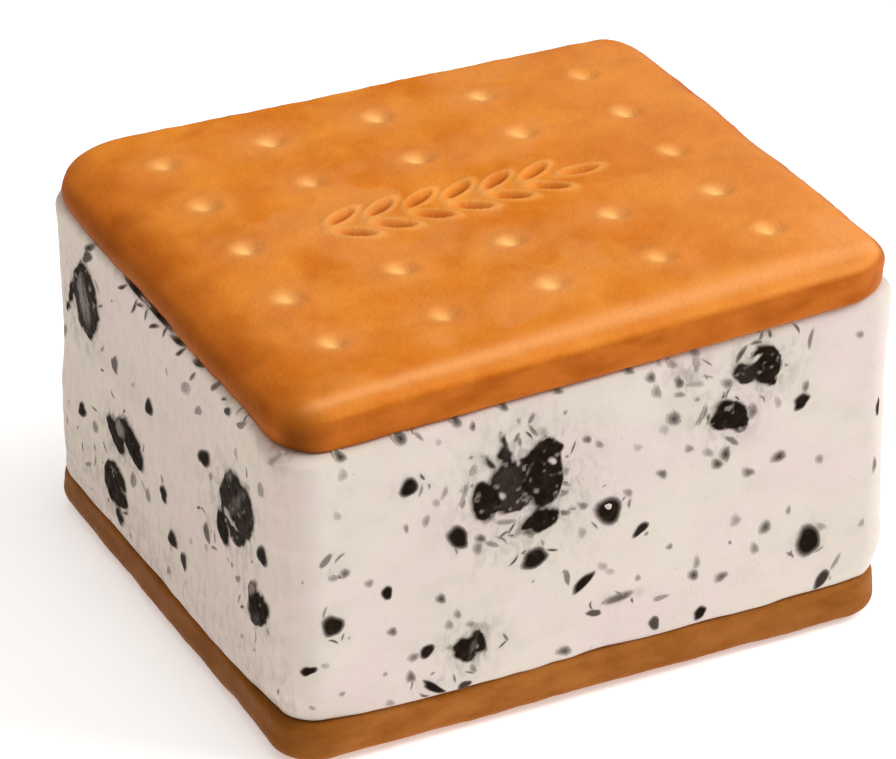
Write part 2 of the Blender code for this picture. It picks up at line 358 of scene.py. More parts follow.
def face_grid(half, radii):
    """Points over a rectangle with round corners, and the outward direction at those on its edge. A grid
    point is (u, v) times the half sizes. In the square of a corner (s, t), counted from its inner corner in
    radii, goes to (s sqrt(1 - t t / 2), t sqrt(1 - s s / 2)), which bends the square into a quarter disc."""
    across, along = (int(round(2 * size / FACE_CELL)) for size in half)
    u, v = np.meshgrid(np.linspace(-half[0], half[0], across + 1), np.linspace(-half[1], half[1], along + 1))
    corner = np.where(v < 0, np.where(u < 0, 0, 1), np.where(u < 0, 3, 2))
    radius_u, radius_v = radii[corner, 0], radii[corner, 1]
    s = np.clip((abs(u) - half[0]) / radius_u + 1, 0, 1)
    t = np.clip((abs(v) - half[1]) / radius_v + 1, 0, 1)
    out_u = np.sign(u) * s * np.sqrt(1 - t * t / 2)
    out_v = np.sign(v) * t * np.sqrt(1 - s * s / 2)
    x = np.sign(u) * np.minimum(abs(u), half[0] - radius_u) + radius_u * out_u
    y = np.sign(v) * np.minimum(abs(v), half[1] - radius_v) + radius_v * out_v
    return x, y, np.stack([out_u, out_v], axis=-1)


def rim_profile(shares, rim):
    """How far out, as a part of the rim's reach, and how high each ring of the side lies, from the foot to
    the shoulder: a quarter circle, a wall that leans out, and a quarter of an ellipse whose points are an
    angle's cosine and sine to the power 2 / fullness. `shares` says how much each point of a ring has of
    the left rim, the right one and the one at the front and back."""
    reach, rise, fullness, foot_radius = rim @ shares
    foot = np.linspace(0, math.pi / 2, 6)[:, None]
    wall = np.linspace(0, 1, 5)[1:-1, None]
    shoulder = np.linspace(0, math.pi / 2, 14)[:-1, None]
    shoulder_floor = FACE_EDGE - rise
    out = [
        1 - (RIM_LEAN + foot_radius * (1 - np.sin(foot))) / reach,
        1 - RIM_LEAN * (1 - wall) / reach,
        np.cos(shoulder) ** (2 / fullness),
    ]
    up = [
        foot_radius * (1 - np.cos(foot)),
        foot_radius + (shoulder_floor - foot_radius) * wall,
        shoulder_floor + rise * np.sin(shoulder) ** (2 / fullness),
    ]
    return np.concatenate(out), np.concatenate(up)


def pit_places(rng):
    """The middle of each pin hole, a little off its place in the grid. The middle row has only its ends."""
    reach = PITS_EACH_WAY // 2
    for column in range(-reach, reach + 1):
        for row in range(-reach, reach + 1):
            jitter = rng.normal(0, PIT_JITTER, 2)
            if row or abs(column) == reach:
                yield STAMP_MIDDLE + np.array((column, row)) * PIT_PITCH + jitter


def grain_places():
    """(x, y, slant) of each grain of the stamped ear, from its foot to its tip."""
    start = -GRAIN_SPACING * GRAIN_PAIRS / 2
    for pair in range(GRAIN_PAIRS):
        for side in (-1, 1):
            yield start + pair * GRAIN_SPACING, side * GRAIN_OFFSET, side * GRAIN_SLANT
    yield start + GRAIN_PAIRS * GRAIN_SPACING, 0.0, 0.0


def bell(away):
    """The bell curve: 1 at 0, and 0.37 at 1."""
    return np.exp(-away * away)


def stamp(x, y, seed):
    """The stamped face's relief at (x, y), and how pale, how glazed and how shaded it is there. A pin hole
    is a bell curve pressed in, with a low ring round it, a pale left bank, a browner right one and a wide
    glazed patch round them. The pale left bank is partly pale dough and partly a painted highlight where it
    faces the key lamp, and the browner right bank is painted shade. A grain is an ellipse pressed in, with a
    raised pale lip, and painted shade darkens its hollow. Soft swells of noise lie under them, and painted
    shade darkens their hollows."""
    rng = np.random.default_rng(seed)
    spots = np.stack([x, y, np.zeros_like(x)], axis=-1)
    height = FACE_SWELL * layered(spots, 8 * MM, seed=seed)
    height += FACE_GRAIN * layered(spots, 1.6 * MM, seed=seed + 3)
    pale = np.zeros_like(x)
    glaze_and_highlight = 0.45 * ease(1.8 * layered(spots, 9 * MM, seed=seed + 5) - 0.2)
    # Painted shade in the hollows of the swells
    painted_shade = 0.4 * ease(-0.15 - height / FACE_SWELL)
    for pit_x, pit_y in pit_places(rng):
        depth = rng.uniform(0.5, 0.75) * MM
        width = rng.uniform(1.0, 1.25) * MM
        strength = rng.uniform(0.6, 1.0)
        off_x, off_y = x - pit_x, y - pit_y
        away = np.hypot(off_x, off_y)
        height += 0.10 * MM * bell((away - 2.1 * MM) / (0.8 * MM))
        height -= depth * bell(away / width)
        left_bank = np.hypot(off_x + 0.5 * MM, off_y)
        right_bank = np.hypot(off_x - 1.6 * MM, off_y)
        patch = np.hypot(off_x + 0.8 * MM, 1.2 * off_y)
        # A painted highlight on the left bank, which faces the key lamp, and painted shade on the right one
        pale = np.maximum(pale, strength * bell(left_bank / (1.25 * MM)))
        glaze_and_highlight = np.maximum(glaze_and_highlight, 0.75 * strength * bell(patch / (4.6 * MM)))
        painted_shade = np.maximum(painted_shade, 0.4 * bell(right_bank / (0.9 * MM)))
    for grain_x, grain_y, slant in grain_places():
        off_x = x - STAMP_MIDDLE[0] - grain_x
        off_y = y - STAMP_MIDDLE[1] - grain_y
        lengthways = (off_x * math.cos(slant) + off_y * math.sin(slant)) / (GRAIN_LENGTH / 2)
        crossways = (off_y * math.cos(slant) - off_x * math.sin(slant)) / (GRAIN_WIDTH / 2)
        away = np.hypot(lengthways, crossways)
        pressed = 1 - ease((away - 0.45) / 0.75)
        height -= GRAIN_DEPTH * pressed
        height += GRAIN_LIP * bell((away - 1.35) / 0.3)
        pale = np.maximum(pale, 0.3 * bell((away - 1.4) / 0.35) * (1 - pressed))
        # Painted shade in the grain's hollow
        painted_shade = np.maximum(painted_shade, pressed)
    return height, pale, glaze_and_highlight, painted_shade


def shape_biscuit(radii, rim, crown, seed):
    """A biscuit lying with its stamped face up, on the floor and round the origin: its points, faces and
    layers. The stamped face is a grid. Rings step out from the grid's edge and down the side by
    rim_profile, then shrink to the middle of the underside."""
    left_reach, right_reach, end_reach = rim[0]
    half = np.array((LENGTH - left_reach - right_reach, WIDTH - 2 * end_reach)) / 2
    sideways = (left_reach, right_reach, right_reach, left_reach)
    corner_reach = np.array([(reach, end_reach) for reach in sideways])
    x, y, outward = face_grid(half, radii[:, None] - corner_reach)
    numbers = np.arange(x.size).reshape(x.shape)
    edge = border(numbers)
    swell = crown * (1 - abs(x / half[0]) ** CROWN_POWER) * (1 - abs(y / half[1]) ** CROWN_POWER)
    x = x + (left_reach - right_reach) / 2
    relief, pale, glaze_and_highlight, painted_shade = stamp(x, y, seed)
    face = np.stack([x, y, FACE_EDGE + swell + relief], axis=-1).reshape(-1, 3)

    start = face[edge]
    turned = outward.reshape(-1, 2)[edge]
    to_right, to_end = turned.T
    shares = np.stack([np.minimum(to_right, 0), np.maximum(to_right, 0), to_end]) ** 2
    out, up = rim_profile(shares, rim)
    side = np.empty((*out.shape, 3))
    reach_x = np.where(to_right < 0, left_reach, right_reach)
    reach = np.stack([reach_x, np.full_like(to_end, end_reach)], axis=-1)
    side[..., :2] = start[:, :2] + turned * reach * out[..., None]
    side[..., 2] = up + (start[:, 2] - FACE_EDGE) * ease(up / FACE_EDGE)
    uneven = 0.14 * MM * layered(side, 13 * MM, seed=seed + 1)
    uneven += 0.07 * MM * layered(side * (1, 1, 2.5), 3 * MM, seed=seed + 2)
    side[..., :2] += turned * (uneven * ease(out))[..., None]

    shrink = np.linspace(0, 1, 9)[1:-1]
    underside = side[0] * shrink[:, None, None]
    underside[..., 2] = 0

    rings = np.concatenate([underside, side])
    ring_numbers = len(face) + np.arange(rings.shape[0] * rings.shape[1]).reshape(rings.shape[:2])
    middle = len(face) + ring_numbers.size
    points = np.concatenate([face, rings.reshape(-1, 3), [(0, 0, 0)]])
    faces = [
        sheet(numbers),
        band(np.concatenate([ring_numbers, edge[None]])),
        cap(ring_numbers[0], middle, up=False),
    ]
    on_rings = np.zeros(ring_numbers.size + 1)
    layers = {
        "pale": np.concatenate([pale.ravel(), on_rings]),
        "glaze_and_highlight": np.concatenate([glaze_and_highlight.ravel(), on_rings]),
        "bake_and_shade": np.maximum(np.concatenate([painted_shade.ravel(), on_rings]), rim_bake(points)),
    }
    return points, faces, layers


def rim_bake(points):
    """How brown the oven made it: 1 on the side, falling over the shoulder to 0.4 on the stamped face."""
    shoulder = ease((points[:, 2] - SHOULDER_FLOOR) / (FACE_EDGE - 0.2 * MM - SHOULDER_FLOOR))
    return 1 - 0.6 * shoulder


def brown_upper_biscuit(points, layers):
    """Adds to the upper biscuit's layers how it baked and where light and shade are painted on it, with
    `across` and `along` from -1 to 1 over it. It is brown at the left, most along the side and at the front
    corner; at the left this brown is partly baked crust and partly painted shade, on the side away from the
    key lamp. Painted shade darkens the left side's foot, under the rim, and it is scorched round the front
    left corner. Painted light brightens the right half, and painted highlights lie at the right corner and
    in a band near the front edge, which widens and draws away from it to the right."""
    across, along = points[:, 0] / (LENGTH / 2), points[:, 1] / (WIDTH / 2)
    # Partly baked crust and partly painted shade at the left, away from the key lamp
    left_side = 0.95 * ease((-across - 0.665) / 0.30)
    front_left = 0.75 * bell(np.hypot((across + 1) * 0.8, along + 1) / 0.42)
    leftward = 0.6 * ease(0.15 - 0.75 * across)
    # Painted light over the right half, and painted highlights near the front edge and at the right corner
    rightward = 0.5 * ease(1.2 * across - 0.1)
    from_band = (along + 1) * WIDTH / 2 / MM - 2.2 - 0.9 * (across + 1)
    front = 0.95 * bell(from_band / (1.2 + 0.8 * (across + 1))) * ease((across + 0.98) / 0.12)
    right = 0.8 * bell(np.hypot((across - 0.88) / 0.14, (along + 0.75) / 0.3))
    rosy = ease((points[:, 2] - SHOULDER_FLOOR - 0.1 * MM) / (0.9 * MM)) * np.maximum(front, right)
    bake_and_shade = np.maximum.reduce([layers["bake_and_shade"], left_side, front_left, leftward])
    layers["bake_and_shade"] = bake_and_shade * (1 - 0.8 * rosy)
    layers["glaze_and_highlight"] = np.maximum(np.maximum(layers["glaze_and_highlight"], rightward) * (1 - left_side), rosy)
    above = ease((points[:, 2] - 2.5 * MM) / (2 * MM))
    # Painted shade at the foot of the left side, under the rim, and a real scorch round the front left
    # corner
    foot = 0.45 * ease((-across - 0.96) / 0.035)
    corner = 0.95 * bell(np.hypot((across + 0.955) / 0.07, (along + 0.955) / 0.08)) * (1 - 0.5 * above)
    layers["scorch_and_shade"] = np.maximum(foot, corner)


def lay_on_ice_cream(points):
    """The upper biscuit's points where it lies: thinned at its back left corner and then all over, skewed
    and stretched at its sides, turned, tilted and warped, with its stamped face where the solid's is."""
    x, y, z = points.T
    back_left = bell(np.hypot(x + LENGTH / 2, y - WIDTH / 2) / (10 * MM))
    upward = z / BISCUIT_THICK
    z = z + back_left * (UPPER_THINNING[1] * (1 - upward) - UPPER_THINNING[0] * upward)
    z = BISCUIT_THICK - (BISCUIT_THICK - z) * UPPER_THICKNESS
    x = x - UPPER_SKEW * y * (0.5 - x / LENGTH)
    x = x + UPPER_RIGHT_REACH * ease(x / (LENGTH / 2))
    turned_x = x * math.cos(TURN) - y * math.sin(TURN) + SHIFT[0]
    turned_y = x * math.sin(TURN) + y * math.cos(TURN) + SHIFT[1]
    z = z + UPPER_FLOOR + lift(turned_x, turned_y)
    return np.stack([turned_x + MIDDLE[0], turned_y + MIDDLE[1], z], axis=1)


def make_upper_biscuit(paint):
    """The upper biscuit, crooked on the ice cream."""
    points, faces, layers = shape_biscuit(UPPER_CORNERS, UPPER_RIM, crown=0.45 * MM, seed=21)
    brown_upper_biscuit(points, layers)
    laid = lay_on_ice_cream(points)
    add_piece("golden_biscuit_top", laid, faces, paint, layers, ["biscuit_top"])


def make_lower_biscuit(paint):
    """The lower biscuit, rolled over, so that its stamped face is the one it rests on. It is scorched more
    to the right and round its front left corner. Painted shade darkens it along its left side, away from the
    key lamp, and at its upper edge, under the ice cream."""
    points, faces, layers = shape_biscuit(LOWER_CORNERS[[3, 2, 1, 0]], LOWER_RIM, crown=0.1 * MM, seed=43)
    across, along = points[:, 0] / (LENGTH / 2), -points[:, 1] / (WIDTH / 2)
    # Painted shade along the left side, away from the key lamp
    left_side = 0.55 * ease((-across - 0.90) / 0.08)
    corner = 0.5 * bell(np.hypot(across + 1, along + 1) / 0.18)
    scorch_and_shade = 0.16 + 0.16 * across + np.maximum(left_side, corner)
    # Painted shade at the upper edge, under the ice cream, once the biscuit is rolled over
    layers["scorch_and_shade"] = np.maximum(0.25 * bell(points[:, 2] / (0.9 * MM)), scorch_and_shade)
    rolled = points * (1, -1, -1)
    rolled[:, 2] -= rolled[:, 2].min()
    rolled[:, :2] += MIDDLE[:2]
    rolled[:, 2] *= BISCUIT_THICK / rolled[:, 2].max()
    add_piece("golden_biscuit_bottom", rolled, faces, paint, layers, ["biscuit_bottom"])


# ------------------------------------------------------------------ the block of ice cream

# The walls are numbered anticlockwise: front, right, back, left. `along` runs with X or Y on all of them,
# and `t` anticlockwise round the block, so on the back and left walls t = -along.
FRONT, RIGHT, BACK, LEFT = range(4)
TANGENTS = np.array(((1, 0), (0, 1), (-1, 0), (0, -1)))
OUTWARDS = np.array(((0, -1), (1, 0), (0, 1), (-1, 0)))
ALONG_TO_T = np.array((1, 1, -1, -1))
BLOCK_INSET = 0.15 * MM
HALF_WALL = np.array((LENGTH, WIDTH, LENGTH, WIDTH)) / 2 - BLOCK_INSET
TO_WALL = np.roll(HALF_WALL, 1)
BLOCK_OVERLAP = 0.1 * MM  # how far it reaches into either biscuit
BLOCK_FLOOR = BISCUIT_THICK - BLOCK_OVERLAP
BLOCK_TOP = HEIGHT - BISCUIT_THICK * UPPER_THICKNESS + BLOCK_OVERLAP
BLOCK_CELL = 0.42 * MM
BLOCK_EDGES = (0.9 * MM, 1.3 * MM)  # radii of its lower and upper edges
DRIP = 0.28 * MM
LEFT_CLIMB = 1.5 * MM
UNDERCUT = 1.1 * MM  # how far its lower edge draws back at the front corners
UNDERCUT_HEIGHT = 4 * MM

# How much painted shade greys the left wall all over, along its upper edge under the upper biscuit and along
# its lower edge at its foot, and how high the last two reach
LEFT_SHADE = 0.09
UPPER_SHADE = 0.3
LOWER_SHADE = 0.3
UPPER_SHADE_HEIGHT = 1.6 * MM
LOWER_SHADE_HEIGHT = 11.0 * MM

# The smear round each chunk: its size, as a part of the chunk's, and its strength
CHUNK_SMEAR_SIZE = 0.9
CHUNK_SMEAR = 0.65


def plan(side, t, out):
    """The wall's course seen from above: (x, y) from the block's middle, `out` in front of the wall at t. t
    runs straight until a corner begins and then round its arc, 45 degrees for each radius."""
    radius = np.where(t > 0, BLOCK_CORNERS[(side + 1) % 4], BLOCK_CORNERS[side])
    angle = np.maximum(abs(t) - HALF_WALL[side] + radius, 0) / radius * (math.pi / 4)
    straight = np.minimum(abs(t), HALF_WALL[side] - radius)
    sideways = np.sign(t) * (straight + (radius + out) * np.sin(angle))
    forward = TO_WALL[side] - radius + (radius + out) * np.cos(angle)
    return TANGENTS[side] * sideways[..., None] + OUTWARDS[side] * forward[..., None]


def block_ends(side, t):
    """The heights of a wall's lower and upper edge at t. The lower edge hangs over the biscuit by uneven
    drips, and the upper one climbs the biscuit's round rim at the left, but not at its front end."""
    flat = plan(side, t, 0.0)
    x, y = flat[..., 0], flat[..., 1]
    spots = np.stack([x, y, np.zeros_like(x)], axis=-1)
    drip = DRIP * ease(0.15 + 0.8 * layered(spots, 5 * MM, 2, seed=31))
    climb = LEFT_CLIMB * ease((-x / (LENGTH / 2) - 0.8) / 0.15) * ease((y + WIDTH / 2 - 3 * MM) / (9 * MM))
    return BLOCK_FLOOR - drip, BLOCK_TOP + lift(x, y) + climb


def wall(side, t, z, out=0.0):
    """The point `out` in front of the ice cream's wall at t and z. The wall swells and sinks by noise of two
    sizes, draws back under itself at the foot of the front corners, and rounds off at both ends."""
    side, t, z, out = np.broadcast_arrays(side, t, z, out)
    spots = np.concatenate([plan(side, t, 0.0), z[..., None]], axis=-1)
    swell = 0.3 * MM * noise(spots * (1, 1, 1.5), 13 * MM, 2)
    swell += 0.1 * MM * layered(spots * (1, 1, 2), 5 * MM, 2, 4)
    low, high = block_ends(side, t)
    before, after = t + HALF_WALL[side], HALF_WALL[side] - t
    from_left = np.select([side == LEFT, side == FRONT], [after / 2, before], 1.0)
    from_right = np.select([side == FRONT, side == RIGHT], [after, before], 1.0)
    undercut = UNDERCUT * (bell(from_left / (10 * MM)) + bell(from_right / (4 * MM)))
    tuck = undercut * (1 - ease((z - low) / UNDERCUT_HEIGHT))
    for radius, from_edge in zip(BLOCK_EDGES, (z - low, high - z)):
        tuck += radius - np.sqrt(np.maximum(radius**2 - np.maximum(radius - from_edge, 0) ** 2, 0))
    return np.concatenate([plan(side, t, swell - tuck + out) + MIDDLE[:2], z[..., None]], axis=-1)


def placed(table):
    """The rows of a table of what has its own place, each with its wall in front."""
    return [(side, *row) for side, rows in table.items() for row in rows]


def smears():
    """The soft grey smears in the ice cream, those with their own place and one round each chunk: (wall,
    along, z, width, height, strength)."""
    yield from placed(SMEARS)
    for name, (side, *_) in CHUNKS.items():
        low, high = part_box(name)
        middle = (np.array(low) + np.array(high)) / 2 - (*MIDDLE[:2], 0)
        axis = 0 if side in (FRONT, BACK) else 1
        wide, tall = high[axis] - low[axis], high[2] - low[2]
        size = CHUNK_SMEAR_SIZE * wide / MM, CHUNK_SMEAR_SIZE * tall / MM
        yield side, middle[axis] / MM, middle[2] / MM, *size, CHUNK_SMEAR


def smeared_and_shaded(side, t, z):
    """How smeared the cream is at t and z of a wall, and on the left wall how shaded: the strongest of the
    bell curves of its smears and, at the left, of painted shade all over, a thin band of painted shade along
    the upper edge under the biscuit and a wide one along the lower."""
    side, t, z = np.broadcast_arrays(side, t, z)
    high = block_ends(side, t)[1]
    upper = UPPER_SHADE * bell((high - z) / UPPER_SHADE_HEIGHT)
    lower = LOWER_SHADE * bell((z - BISCUIT_THICK) / LOWER_SHADE_HEIGHT)
    strongest = np.where(side == LEFT, np.maximum(np.maximum(upper, lower), LEFT_SHADE), 0.0)
    for place, along, height, wide, tall, strength in smears():
        off = (t - along * MM * ALONG_TO_T[place]) / (wide * MM)
        away = np.hypot(off, (z - height * MM) / (tall * MM))
        strongest = np.maximum(strongest, np.where(side == place, strength * bell(1.2 * away), 0))
    return strongest


def make_ice_cream(paint):
    """The block: rings of wall points from its lower to its upper edge, closed above and below by rings that
    shrink to a middle point."""
    rows = int(round((BLOCK_TOP - BLOCK_FLOOR) / BLOCK_CELL))
    up = np.linspace(0, 1, rows + 1)[:, None]
    columns = [int(round(2 * half / BLOCK_CELL)) for half in HALF_WALL]
    side = np.concatenate([np.full(count, wall_number) for wall_number, count in enumerate(columns)])
    t = np.concatenate([np.linspace(-half, half, count + 1)[:-1] for half, count in zip(HALF_WALL, columns)])
    low, high = block_ends(side, t)
    z = low + (high - low) * up
    walls = wall(side[None], t[None], z)

    steps = np.linspace(0, 1, 8)[1:-1, None, None]
    floor_middle = np.array((*MIDDLE[:2], BLOCK_FLOOR))
    top_middle = np.array((*MIDDLE[:2], BLOCK_TOP))
    below = floor_middle + (walls[0] - floor_middle) * steps
    above = top_middle + (walls[-1] - top_middle) * steps[::-1]
    rings = np.concatenate([below, walls, above])
    numbers = np.arange(rings.shape[0] * rings.shape[1]).reshape(rings.shape[:2])
    points = np.concatenate([rings.reshape(-1, 3), [floor_middle, top_middle]])
    faces = [band(numbers), cap(numbers[0], numbers.size, up=False), cap(numbers[-1], numbers.size + 1)]

    smear = np.zeros(rings.shape[:2])
    smear[len(below) : len(below) + len(walls)] = smeared_and_shaded(side[None], t[None], z)
    # The smear layer carries the smears and the painted shade on the left wall
    layers = {"smear": np.concatenate([smear.ravel(), (0, 0)])}
    add_piece("cookies_and_cream", points, faces, paint, layers, ["ice_cream"])


# ------------------------------------------------------------------ the cookie in it

# How grey a bit of cookie looks runs from 0, bare and black, to 1, wholly under the cream. The film over one
# that looks as grey as g covers g to a power of it.
GREY_POWER = 1.7
SMALL_GREY_POWER = 2.3  # of crumbs and streaks

GAP_GREY = 0.58  # lobes greyer than this only let the cream show, and add nothing to the outline

# Each large chunk: its wall, then its lobes as (across, up, length, breadth, slant, grey), counted from its
# middle in millimetres and degrees. Later lobes are painted over earlier ones.
CHUNKS = {
    "chunk_front_cluster": (
        FRONT,
        (-1.9, 0.9, 6.1, 4.4, -70, 0.13),
        (0.1, 1.6, 5.6, 3.4, -80, 0.1),
        (2.2, 1.7, 8.0, 4.8, -84, 0),
        (-4.8, 0, 4.7, 3.0, -79, 0),
        (1.9, -4.1, 4.3, 2.9, 14, 0),
        (-2.5, 5.1, 1.9, 1.4, -44, 0.1),
        (-2.4, 6.6, 2.1, 0.5, -81, 0.2),
        (-4.1, 4.6, 1.4, 0.5, -56, 0.2),
        (3.6, 4.7, 1.7, 1.3, -51, 0),
        (-0.8, 4.6, 2.0, 0.8, 85, 0.9),
        (3.3, 3.2, 1.0, 0.8, -51, 0.9),
        (0.5, -2.4, 1.5, 0.9, -9, 0.9),
        (-2.8, 0.3, 0.8, 0.6, -53, 0.8),
        (2.9, -2.4, 1.9, 0.5, -6, 0.8),
        (0.2, 2.4, 1.4, 0.5, 60, 0.6),
    ),
    "chunk_front_high": (
        FRONT,
        (0.8, 0.6, 4.7, 3.1, -59, 0),
        (-1.9, 0, 2.8, 2.2, -20, 0.1),
        (0.7, -1.4, 2.1, 1.4, -31, 0),
        (-1.1, 1.3, 2.2, 0.6, 31, 0.95),
        (-0.2, -0.4, 0.7, 0.5, 10, 0.7),
    ),
    "chunk_front_right": (
        FRONT,
        (-0.3, 0.7, 4.6, 3.3, -35, 0),
        (-1.7, -0.1, 2.0, 1.4, -36, 0),
        (1.3, -1.1, 2.1, 1.5, -49, 0),
        (-0.3, -1.5, 0.8, 0.6, -34, 0.8),
    ),
    "chunk_front_low": (
        FRONT,
        (-0.9, 0.1, 3.2, 2.3, -58, 0),
        (0.8, 0.5, 2.9, 1.8, -64, 0),
        (0.1, 0.3, 1.9, 0.3, 75, 0.4),
    ),
    "chunk_left_high": (
        LEFT,
        (2.4, 1.8, 8.7, 7.1, 76, 0.12),
        (2.0, 2.0, 6.0, 3.3, -73, 0.5),
        (2.5, 2.0, 5.4, 0.6, -80, 0.1),
        (-1.8, 1.6, 8.6, 1.0, 57, 0),
    ),
    "chunk_left_twin": (
        LEFT,
        (-1.3, 0.5, 5.3, 2.9, -27, 0.05),
        (3.6, 1.8, 6.7, 3.9, -30, 0),
        (0.4, 2.1, 3.0, 2.1, 11, 0.5),
    ),
    "chunk_left_low": (
        LEFT,
        (1.8, 1.0, 7.2, 5.5, 39, 0),
        (3.6, -0.4, 3.3, 2.0, 24, 0),
        (2.9, -3.0, 2.2, 1.7, -88, 0.1),
    ),
    "chunk_left_large": (
        LEFT,
        (1.6, 1.1, 9.8, 7.4, 33, 0.08),
        (2.4, 2.4, 5.8, 1.4, 52, 0.3),
        (0.6, 0.6, 4.4, 1.0, 58, 0.25),
        (-2.5, -3.6, 4.2, 2.9, -68, 0),
        (1.0, -3.1, 2.7, 1.5, 24, 0.1),
        (0, -1.2, 5.3, 0.8, -11, 0.75),
        (0.3, 4.6, 2.3, 1.0, 38, 0.4),
    ),
    "chunk_left_small": (
        LEFT,
        (1.1, 0.8, 5.9, 3.1, 26, 0),
        (-0.4, 2.4, 2.4, 1.2, 45, 0.5),
        (0.6, -1.0, 2.5, 0.9, 35, 0.2),
    ),
    "chunk_back_large": (
        BACK,
        (0.6, 0.4, 6.8, 6.2, 25, 0),
        (-2.4, -1.4, 4.0, 4.2, -20, 0.15),
        (1.4, 0.8, 1.2, 0.8, 0, 0.85),
        (-0.8, 1.9, 2.4, 0.6, 50, 0.7),
    ),
    "chunk_back_high": (BACK, (0, 0, 5.0, 4.2, 35, 0), (-1.2, -1.0, 2.6, 2.6, 0, 0.2)),
    "chunk_back_low": (
        BACK,
        (0.5, 0, 5.2, 4.4, -20, 0),
        (-1.8, 0.6, 2.8, 3.0, 0, 0),
        (0.4, 0.5, 1.6, 0.5, 60, 0.7),
    ),
    "chunk_right_large": (
        RIGHT,
        (0.2, 0.6, 6.0, 6.4, 15, 0.05),
        (-1.6, -1.8, 4.2, 4.2, 0, 0),
        (2.0, -1.6, 3.0, 3.4, 40, 0.1),
        (0.6, 1.4, 2.6, 0.6, -40, 0.75),
    ),
    "chunk_right_low": (RIGHT, (0, 0, 5.8, 4.4, 30, 0), (1.6, 1.0, 2.6, 2.6, 0, 0.1)),
    "chunk_right_small": (RIGHT, (0, 0, 4.2, 3.6, -15, 0), (0.5, 0.3, 1.2, 0.6, 20, 0.7)),
}
CHUNK_CELL = 0.13 * MM
CHUNK_MARGIN = 1.2 * MM  # of the sheet round the lobes
CHUNK_PROUD = 0.24 * MM
CHUNK_DEPTH = 1.4 * MM
LOBE_GROWTH = 0.28 * MM  # how far an outline stands outside its ellipse
LOBE_BLEND = 0.3 * MM  # how far lobes melt into each other
FILM_EDGE = 0.42 * MM  # width over which the cream thins out from an outline

# Greyish smears: along, z, width and height in millimetres, and strength
SMEARS = {
    FRONT: (
        (10.8, 38.6, 3.2, 2.4, 0.5),
        (12.6, 33.5, 2.8, 3.4, 0.4),
        (17.5, 33.8, 2.8, 1.6, 0.45),
        (22.0, 39.5, 3.4, 2.0, 0.3),
        (-12.8, 27.0, 2.6, 4.2, 0.45),
        (-9.6, 23.2, 3.4, 1.4, 0.4),
        (-5.0, 35.5, 3.6, 2.2, 0.3),
        (3.0, 12.0, 3.4, 0.8, 0.5),
        (-32.0, 25.5, 2.2, 1.2, 0.35),
        (-23.4, 33.3, 2.2, 1.7, 0.35),
        (1.0, 24.0, 2.6, 2.2, 0.35),
        (-8.1, 20.2, 2.6, 1.9, 0.3),
        (-32.6, 18.3, 2.2, 2.0, 0.3),
        (-20.5, 7.4, 2.8, 1.2, 0.35),
        (27.2, 13.2, 2.7, 2.5, 0.35),
    ),
    LEFT: (
        (8.0, 22.0, 3.0, 3.4, 0.3),
        (-12.8, 21.0, 2.2, 3.0, 0.4),
        (-21.0, 39.5, 2.6, 1.4, 0.35),
        (18.0, 36.0, 3.0, 1.8, 0.3),
        (22.0, 13.0, 2.6, 2.0, 0.25),
    ),
    RIGHT: ((-8.0, 14.0, 3.0, 2.2, 0.35),),
    BACK: ((12.0, 27.0, 3.2, 2.2, 0.35),),
}


